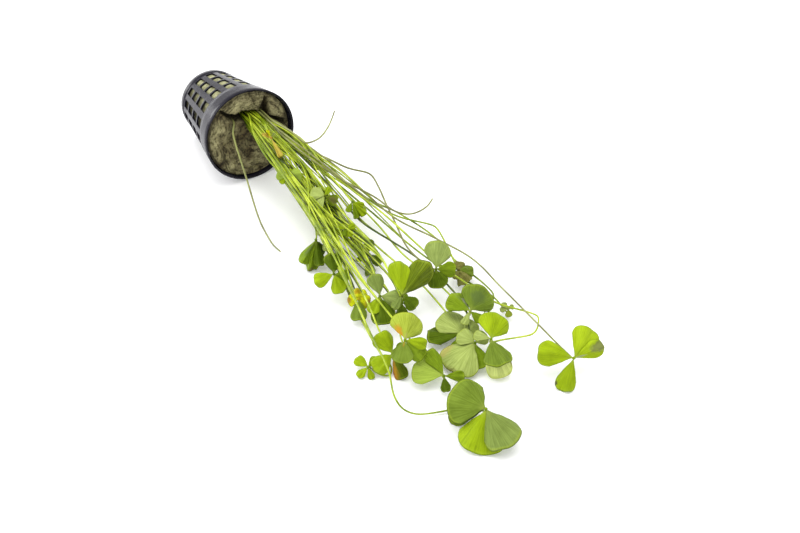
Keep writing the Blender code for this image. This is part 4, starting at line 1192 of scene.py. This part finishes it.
@dataclass
class Leaflet:
    """One of a leaf's four parts: a thin fan with rounded corners, read from the frame."""

    hub: Place
    along: Place
    side: Place
    up: Place
    length: float
    spread: float
    cup: float
    look: Look = PLAIN
    columns: int = 26
    rows: int = 18
    shoulder: float = 0.86
    lowest: float = 0.2 * MM
    arch: float = 0.25
    foot: float = 0.02
    ragged: float = 0.025
    rounding: float = 0.30
    squareness: float = 3.6
    waist: float = 0.72
    flare: float = 0.34
    pinch: float = 0.04
    widened: float = 0.5
    waist_at: float = 0.55
    ripples: float = 2.3
    flat_base: float = 0.4
    curl_start: float = 0.45

    @classmethod
    def read(cls, hub: Place, corners: Place, cup: float, broader: float) -> "Leaflet":
        """Work out a leaflet's place and size from its eight middle corners.

        Args:
            hub: The middle of the leaf.
            corners: The leaflet's corners, half way through its thickness.
            cup: How strongly it is cupped.
            broader: How much broader than in the frame it is.

        Returns:
            The leaflet.
        """
        ordered = corners[np.argsort(np.linalg.norm(corners - hub, axis=1))]
        waist, margin = ordered[:3], ordered[3:]
        gaps = np.linalg.norm(margin[:, None] - margin[None], axis=2)
        one, other = np.unravel_index(gaps.argmax(), gaps.shape)
        side = unit(margin[other] - margin[one])
        margin = margin[np.argsort(margin @ side)]
        reach = margin[2] - hub
        length = float(np.linalg.norm(reach)) / math.hypot(1.0, cls.arch * cup)
        up = unit(np.cross(reach, side))
        middle = waist[np.argmin(np.linalg.norm(waist - (hub + cls.waist_at * reach), axis=1))]
        if (middle - hub) @ up < 0.0:
            side, up = -side, -up
        bend = math.atan(cls.arch * cup)
        along = unit(reach) * math.cos(bend) + up * math.sin(bend)
        sine = float(np.linalg.norm(margin[4] - margin[0])) / (2 * cls.shoulder * length)
        spread = math.asin(min(1.0, sine)) * broader
        return cls(hub, along, side, unit(np.cross(along, side)), length, spread, cup)

    def seed(self) -> float:
        """A number of the leaflet's own, for its ripples."""
        return float((self.hub @ (313.0, 727.0, 191.0) + self.along @ (17.0, 31.0, 57.0)) % 97.0)

    def at(self, across: float, out: float) -> Place:
        """A place on the leaflet: across it from -1 to 1, and out from the hub from 0 to 1."""
        ripple, crumple, curl, fold = self.look.habit.value
        seed = self.seed()
        edge = abs(across)
        wobble = self.ragged * noise.noise(Vector((2.6 * across, seed, 3.3)))
        reach = 1.0 - self.rounding * edge**self.squareness + wobble
        radius = self.length * self.look.longer * (self.foot + (1.0 - self.foot) * out) * reach
        fanned = self.waist + self.flare * ease(out, 0.0, self.widened) - self.pinch * out
        angle = self.spread * self.look.broader * across * fanned
        forward, sideways = radius * math.cos(angle), radius * math.sin(angle)
        sag = self.cup * (sideways**2 + self.arch * forward**2) / self.length
        lift = ripple * math.sin(self.ripples * math.pi * across + seed) * out**2
        creases = noise.fractal(Vector((2.2 * across * out, 2.6 * out, seed)), 0.9, 2.1, 3)
        lift += crumple * creases * ease(out, 0.0, self.flat_base)
        lift -= (curl * ease(edge, self.curl_start, 1.0) + fold * edge) * out
        place = self.hub + self.along * forward + self.side * sideways
        place = place + self.up * (lift * self.length - sag)
        place[2] = max(place[2], self.lowest)
        return place


@dataclass
class Leaf:
    """A clover leaf of four leaflets round a hub."""

    name: str
    leaflets: list[Leaflet] = field(init=False)
    hub: Place = field(init=False)
    count: int = 4
    corner_count: int = 16
    clear: float = 1.6 * MM
    thickness: float = 0.5 * MM
    blade: float = 0.28 * MM
    knob: float = 0.62 * MM
    usual_cup: float = 0.3

    def __post_init__(self) -> None:
        """Find the hub and the leaflets in the leaf's node."""
        corners = Corners.of(f"leaf_{self.name}")
        hubs, islands = [], []
        for place in corners.places:
            inner = set(np.flatnonzero(np.linalg.norm(corners.places - place, axis=1) < self.clear).tolist())
            groups = corners.islands(inner)
            if [len(group) for group in groups] == [self.corner_count] * self.count:
                hubs.append(place)
                islands = groups
        if not hubs:
            raise ValueError(f"leaf_{self.name}: no hub with {self.count} leaflets was found")
        self.hub = np.mean(hubs, axis=0)
        form = (CUPS.get(self.name, self.usual_cup), BROADER.get(self.name, 1.0))
        self.leaflets = [Leaflet.read(self.hub, self.middles(corners, group), *form) for group in islands]

    def middles(self, corners: Corners, group: list[int]) -> Place:
        """Half way between the two faces of a leaflet, at each pair of its corners."""
        places = corners.places[group]
        gaps = np.linalg.norm(places[:, None] - places[None], axis=2)
        off = np.abs(gaps - self.thickness)
        left = set(range(len(group)))
        middles = []
        for flat in np.argsort(off, axis=None):
            one, other = divmod(int(flat), len(group))
            if one in left and other in left and one != other:
                middles.append((places[one] + places[other]) / 2)
                left -= {one, other}
        return np.array(middles)

    def dress(self, seen: Callable[[Place], Place]) -> None:
        """Give each leaflet the look whose hour it points nearest to in the picture."""
        looks = LOOKS[self.name]
        middle = seen(self.hub)
        choices = []
        for number, leaflet in enumerate(self.leaflets):
            across, down = seen(leaflet.at(0.0, 1.0)) - middle
            hour = math.degrees(math.atan2(across, -down)) / 30.0
            for place, look in enumerate(looks):
                choices.append((abs((hour - look.hour + 6.0) % 12.0 - 6.0), number, place))
        taken: set[int] = set()
        for _, number, place in sorted(choices):
            if self.leaflets[number].look is PLAIN and place not in taken:
                self.leaflets[number].look = looks[place]
                taken.add(place)

    def build(self, paints: "LeafPaints") -> None:
        """Make the leaf: its leaflets as thin sheets round a small knob."""
        bm = bmesh.new()
        used: list[Paint] = []
        for leaflet in self.leaflets:
            paint = paints.of(leaflet.look)
            if paint not in used:
                used.append(paint)
            faces = lay_grid(bm, leaflet.columns, leaflet.rows, lambda x, y: leaflet.at(2 * x - 1, y))
            for face in faces:
                face.material_index = used.index(paint)
        bmesh.ops.recalc_face_normals(bm, faces=bm.faces)
        knob = bmesh.ops.create_icosphere(bm, subdivisions=2, radius=self.knob)["verts"]
        bmesh.ops.translate(bm, verts=knob, vec=self.hub)
        leaf = finished(f"clover_{self.name}", bm, "leaf_green", f"leaf_{self.name}", *used)
        body = leaf.modifiers.new("blade", "SOLIDIFY")
        body.thickness = self.blade
        body.offset = 0.0


@dataclass(frozen=True)
class LeafSkin:
    """A leaflet's skin: fanned veins that fork half way, mottle, a thin dark margin and its spots."""

    look: Look
    number: int
    roughness: float = 0.5
    specular: float = 0.07
    veins: float = 11.0
    vein_edge: float = 0.45
    forking: tuple[float, float] = (0.42, 0.58)
    margin: tuple[float, float] = (0.965, 0.995)
    side_margin: float = 0.018
    darker: float = 0.55
    lighter: float = 1.30
    lightest: float = 0.8
    plain_share: float = 0.55
    patch_share: float = 0.45
    mottle_share: float = 0.40
    vein_share: float = 0.26
    base_share: float = 0.5
    edge_share: float = 0.34
    margin_share: float = 0.8
    spot_share: float = 0.85
    base: Colour = (0.34, 0.42, 0.07)
    edge: Colour = (0.34, 0.43, 0.03)
    grain: float = 0.16 * MM

    def paint(self) -> Paint:
        """Make the material."""
        tone = self.look.tone
        between, vein, rim = tone.value
        name = f"clover_{tone.name.lower()}_{self.number}"
        paint = Paint(name, self.roughness, Specular_IOR_Level=self.specular)
        across, out = paint.across()
        where = paint.where()
        fan = {0: across * 26.0, 1: out * 1.6, 2: self.number * 1.7}
        streak = paint.cloud(paint.node("ShaderNodeCombineXYZ", None, fan), 1.0, 3.0, 0.6)
        drift = paint.cloud(where, 260.0, 2.0) * 0.02
        trunks = self.lines(across + drift, self.veins)
        forks = self.lines(across + drift, 2.0 * self.veins)
        forked = out.step(*self.forking)
        net = trunks * (1.0 - forked) + forks * forked
        mottle = paint.cloud(where, 170.0, 5.0, 0.65)
        patch = paint.cloud(where, 60.0, 2.0)
        dark = tuple(self.darker * part for part in between)
        light = tuple(min(self.lightest, self.lighter * part) for part in vein)
        skin = paint.blend(streak.step(0.36, 0.66), dark, vein)
        skin = paint.blend(self.plain_share, skin, between)
        skin = paint.blend(patch.step(0.50, 0.70) * self.patch_share, skin, light)
        skin = paint.blend(mottle.step(0.52, 0.72) * self.mottle_share, skin, dark)
        skin = paint.blend(net * self.vein_share, skin, light)
        skin = paint.blend(out.step(0.26, 0.0) * self.base_share, skin, self.base)
        thin = (out + mottle * 0.08).step(0.95, 1.01)
        skin = paint.blend(thin * self.edge_share, skin, self.edge)
        sides = across.to_and_fro(0.5).step(self.side_margin, 0.0)
        skin = paint.blend(out.step(*self.margin).larger(sides) * self.margin_share, skin, rim)
        for spot in self.look.spots:
            dx = (across - (spot.across + 1.0) / 2) * 1.4
            dy = out - spot.out
            ragged = paint.cloud(where, 330.0, 4.0, 0.7) * 0.5 - 0.25
            distance = (dx * dx + dy * dy) ** 0.5 + ragged
            inside = distance.step(spot.size, 0.35 * spot.size)
            skin = paint.blend(inside * self.spot_share, skin, spot.colour)
        paint.colour(skin)
        paint.gloss(0.34 + mottle * 0.24)
        paint.relief(net * 0.4 + mottle * 0.8 + streak * 0.5, self.grain)
        return paint

    def lines(self, across: Flow, count: float) -> Flow:
        """Thin even lines, this many across a leaflet."""
        return (across.to_and_fro(0.5 / count) * (2.0 * count)).step(self.vein_edge, 0.0)


class LeafPaints:
    """The leaf materials, one for each tone and set of spots in use."""

    def __init__(self) -> None:
        """Start with none."""
        self.made: dict[tuple, Paint] = {}

    def of(self, look: Look) -> Paint:
        """The material for a look."""
        key = (look.tone, look.spots)
        if key not in self.made:
            self.made[key] = LeafSkin(look, len(self.made)).paint()
        return self.made[key]


# The studio


@dataclass(frozen=True)
class Lamp:
    """A square soft light, which shows in glossy surfaces only where it is mirrored."""

    name: str
    place: tuple[float, float, float]
    size: float
    power: float
    mirrored: bool

    def hang(self, target: Place) -> None:
        """Add the light, facing its target."""
        lamp = bpy.data.lights.new(self.name, "AREA")
        lamp.shape = "SQUARE"
        lamp.size = self.size
        lamp.energy = self.power
        light = bpy.data.objects.new(self.name, lamp)
        turn = (Vector(target) - Vector(self.place)).to_track_quat("-Z", "Y").to_matrix().to_4x4()
        light.matrix_world = Matrix.Translation(self.place) @ turn
        light.visible_glossy = self.mirrored
        bpy.context.scene.collection.objects.link(light)


@dataclass
class Studio:
    """The photograph's camera, a pale floor and soft light."""

    pot: NetPot
    focal: float = 1100.0
    width: float = 800.0
    middle: tuple[float, float] = (400.0, 266.5)
    pitch: float = math.radians(44.75)
    heading: float = math.radians(57.05)
    eye_height: float = 393.6 * MM
    pot_right: float = -80.5 * MM
    pot_away: float = 471.6 * MM
    sensor: float = 36.0
    nearest: float = 0.01
    floor_size: float = 24.0
    floor: Colour = (0.92, 0.92, 0.93)
    glow: float = 0.10
    horizon: float = 1.25
    zenith: float = 0.6
    lamps: tuple[Lamp, ...] = (
        Lamp("overhead", (-0.25, 0.20, 1.5), 1.6, 22.0, False),
        Lamp("window", (-0.6, -0.9, 1.0), 0.9, 8.0, True),
        Lamp("low_window", (-1.05, -0.50, 0.24), 0.40, 4.0, True),
    )

    def __post_init__(self) -> None:
        """Work out where the camera is and which way it looks."""
        mouth = np.array((*self.pot.mouth[:2], 0.0))
        self.eye = mouth + self.turned(-self.pot_right, -self.pot_away, self.eye_height)
        self.right = self.turned(1.0, 0.0, 0.0)
        self.up = self.turned(0.0, math.sin(self.pitch), math.cos(self.pitch))
        self.forward = self.turned(0.0, math.cos(self.pitch), -math.sin(self.pitch))

    def turned(self, right: float, away: float, rise: float) -> Place:
        """A direction given from the camera's side, in the frame."""
        cosine, sine = math.cos(self.heading), math.sin(self.heading)
        return np.array((cosine * right - sine * away, sine * right + cosine * away, rise))

    def seen(self, place: Place) -> Place:
        """The column and row of the picture that show a place."""
        apart = place - self.eye
        scale = self.focal / (apart @ self.forward)
        column, row = self.middle
        return np.array((column + scale * (apart @ self.right), row - scale * (apart @ self.up)))

    def add_camera(self) -> None:
        """Put the camera where the photograph was taken from."""
        lens = bpy.data.cameras.new("camera")
        lens.sensor_width = self.sensor
        lens.lens = lens.sensor_width * self.focal / self.width
        lens.clip_start = self.nearest
        camera = bpy.data.objects.new("camera", lens)
        turn = Matrix(np.column_stack((self.right, self.up, -self.forward))).to_4x4()
        camera.matrix_world = Matrix.Translation(self.eye) @ turn
        bpy.context.scene.collection.objects.link(camera)
        bpy.context.scene.camera = camera

    def add_floor(self) -> None:
        """A plain white floor, which glows a little as an overexposed one does."""
        bm = bmesh.new()
        bmesh.ops.create_grid(bm, x_segments=8, y_segments=8, size=self.floor_size / 2)
        mesh = bpy.data.meshes.new("floor")
        bm.to_mesh(mesh)
        bm.free()
        floor = bpy.data.objects.new("floor", mesh)
        paint = Paint("floor_white", 0.8, Specular_IOR_Level=0.1)
        paint.colour(self.floor)
        paint.shader.inputs["Emission Color"].default_value = (1.0, 1.0, 1.0, 1.0)
        paint.shader.inputs["Emission Strength"].default_value = self.glow
        mesh.materials.append(paint.material)
        bpy.context.scene.collection.objects.link(floor)

    def add_sky(self) -> None:
        """White light from all round, stronger near the horizon than overhead."""
        world = bpy.data.worlds.new("studio")
        bpy.context.scene.world = world
        world.use_nodes = True
        nodes, links = world.node_tree.nodes, world.node_tree.links
        direction = nodes.new("ShaderNodeTexCoord")
        parts = nodes.new("ShaderNodeSeparateXYZ")
        links.new(direction.outputs["Generated"], parts.inputs[0])
        fall = nodes.new("ShaderNodeMapRange")
        fall.inputs["To Min"].default_value = self.horizon
        fall.inputs["To Max"].default_value = self.zenith
        links.new(parts.outputs["Z"], fall.inputs["Value"])
        links.new(fall.outputs[0], nodes["Background"].inputs["Strength"])
        nodes["Background"].inputs["Color"].default_value = (1.0, 1.0, 1.0, 1.0)

    def build(self) -> None:
        """Set up the camera, the floor and the light."""
        self.add_camera()
        self.add_floor()
        self.add_sky()
        for lamp in self.lamps:
            lamp.hang(self.pot.mouth)
        bpy.context.scene.view_settings.view_transform = "Standard"


# The tones of stems that stand out in the photograph; the others take turns in LIME and GREEN
TONED_STEMS = {
    StemTone.STRAW: ("lone", "hair", "broken", "curled_tip", "right", "mid_round"),
    StemTone.LIME: ("by_pot", "lower_left", "round_right", "dark_pair"),
    StemTone.GREEN: ("front", "tiny_curl", "long_bare", "brown_curl"),
    StemTone.SHADE: ("big_pale", "young_dark", "yellow_curl", "centre_dark"),
}
STEM_TONES = {name: tone for tone, names in TONED_STEMS.items() for name in names}

# Stems that lie apart from the bundle, and stems that run down its middle
APART = ("lone", "hair", "broken", "curled_tip", "mid_round", "orange_by_pot", "by_pot", "pale_small")
MIDDLE = (
    "left_edge", "yellow_curl", "centre_high", "centre_dark", "centre_low", "young_dark", "lower_left",
    "lower_left_small", "mid_bright", "orange", "front",
)


def main() -> None:
    """Build the studio, the pot, the wool, and then every stem with its leaf."""
    pot = NetPot()
    studio = Studio(pot)
    studio.build()
    pot.build()
    RockWool(pot).build()

    leaves = {}
    paints = LeafPaints()
    for node in sorted(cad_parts):
        if node.startswith("leaf_"):
            leaf = Leaf(node.removeprefix("leaf_"))
            leaf.dress(studio.seen)
            leaf.build(paints)
            leaves[leaf.name] = leaf
    LOG.info("%d leaves in %d finishes", len(leaves), len(paints.made))

    skins = {tone: StemSkin(tone).paint() for tone in StemTone}
    bundle = []
    for number, node in enumerate(sorted(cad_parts)):
        if node.startswith("stem_"):
            name = node.removeprefix("stem_")
            tone = STEM_TONES.get(name, (StemTone.LIME, StemTone.GREEN)[number % 2])
            hub = leaves[name].hub if name in leaves else None
            stem = Stem(name, tone, pot, hub)
            stem.build(skins[tone])
            if name not in APART:
                bundle.append(stem)
    FineStalks("fine_stalks", bundle).build(skins)
    middle = [stem for stem in bundle if stem.name in MIDDLE]
    FineStalks(
        "long_stalks", middle, count=104, seed=11,
        shortest=95.0 * MM, longest=200.0 * MM, start=34.0 * MM, furthest=26.0 * MM,
    ).build(skins)


if __name__ == "__main__":
    main()
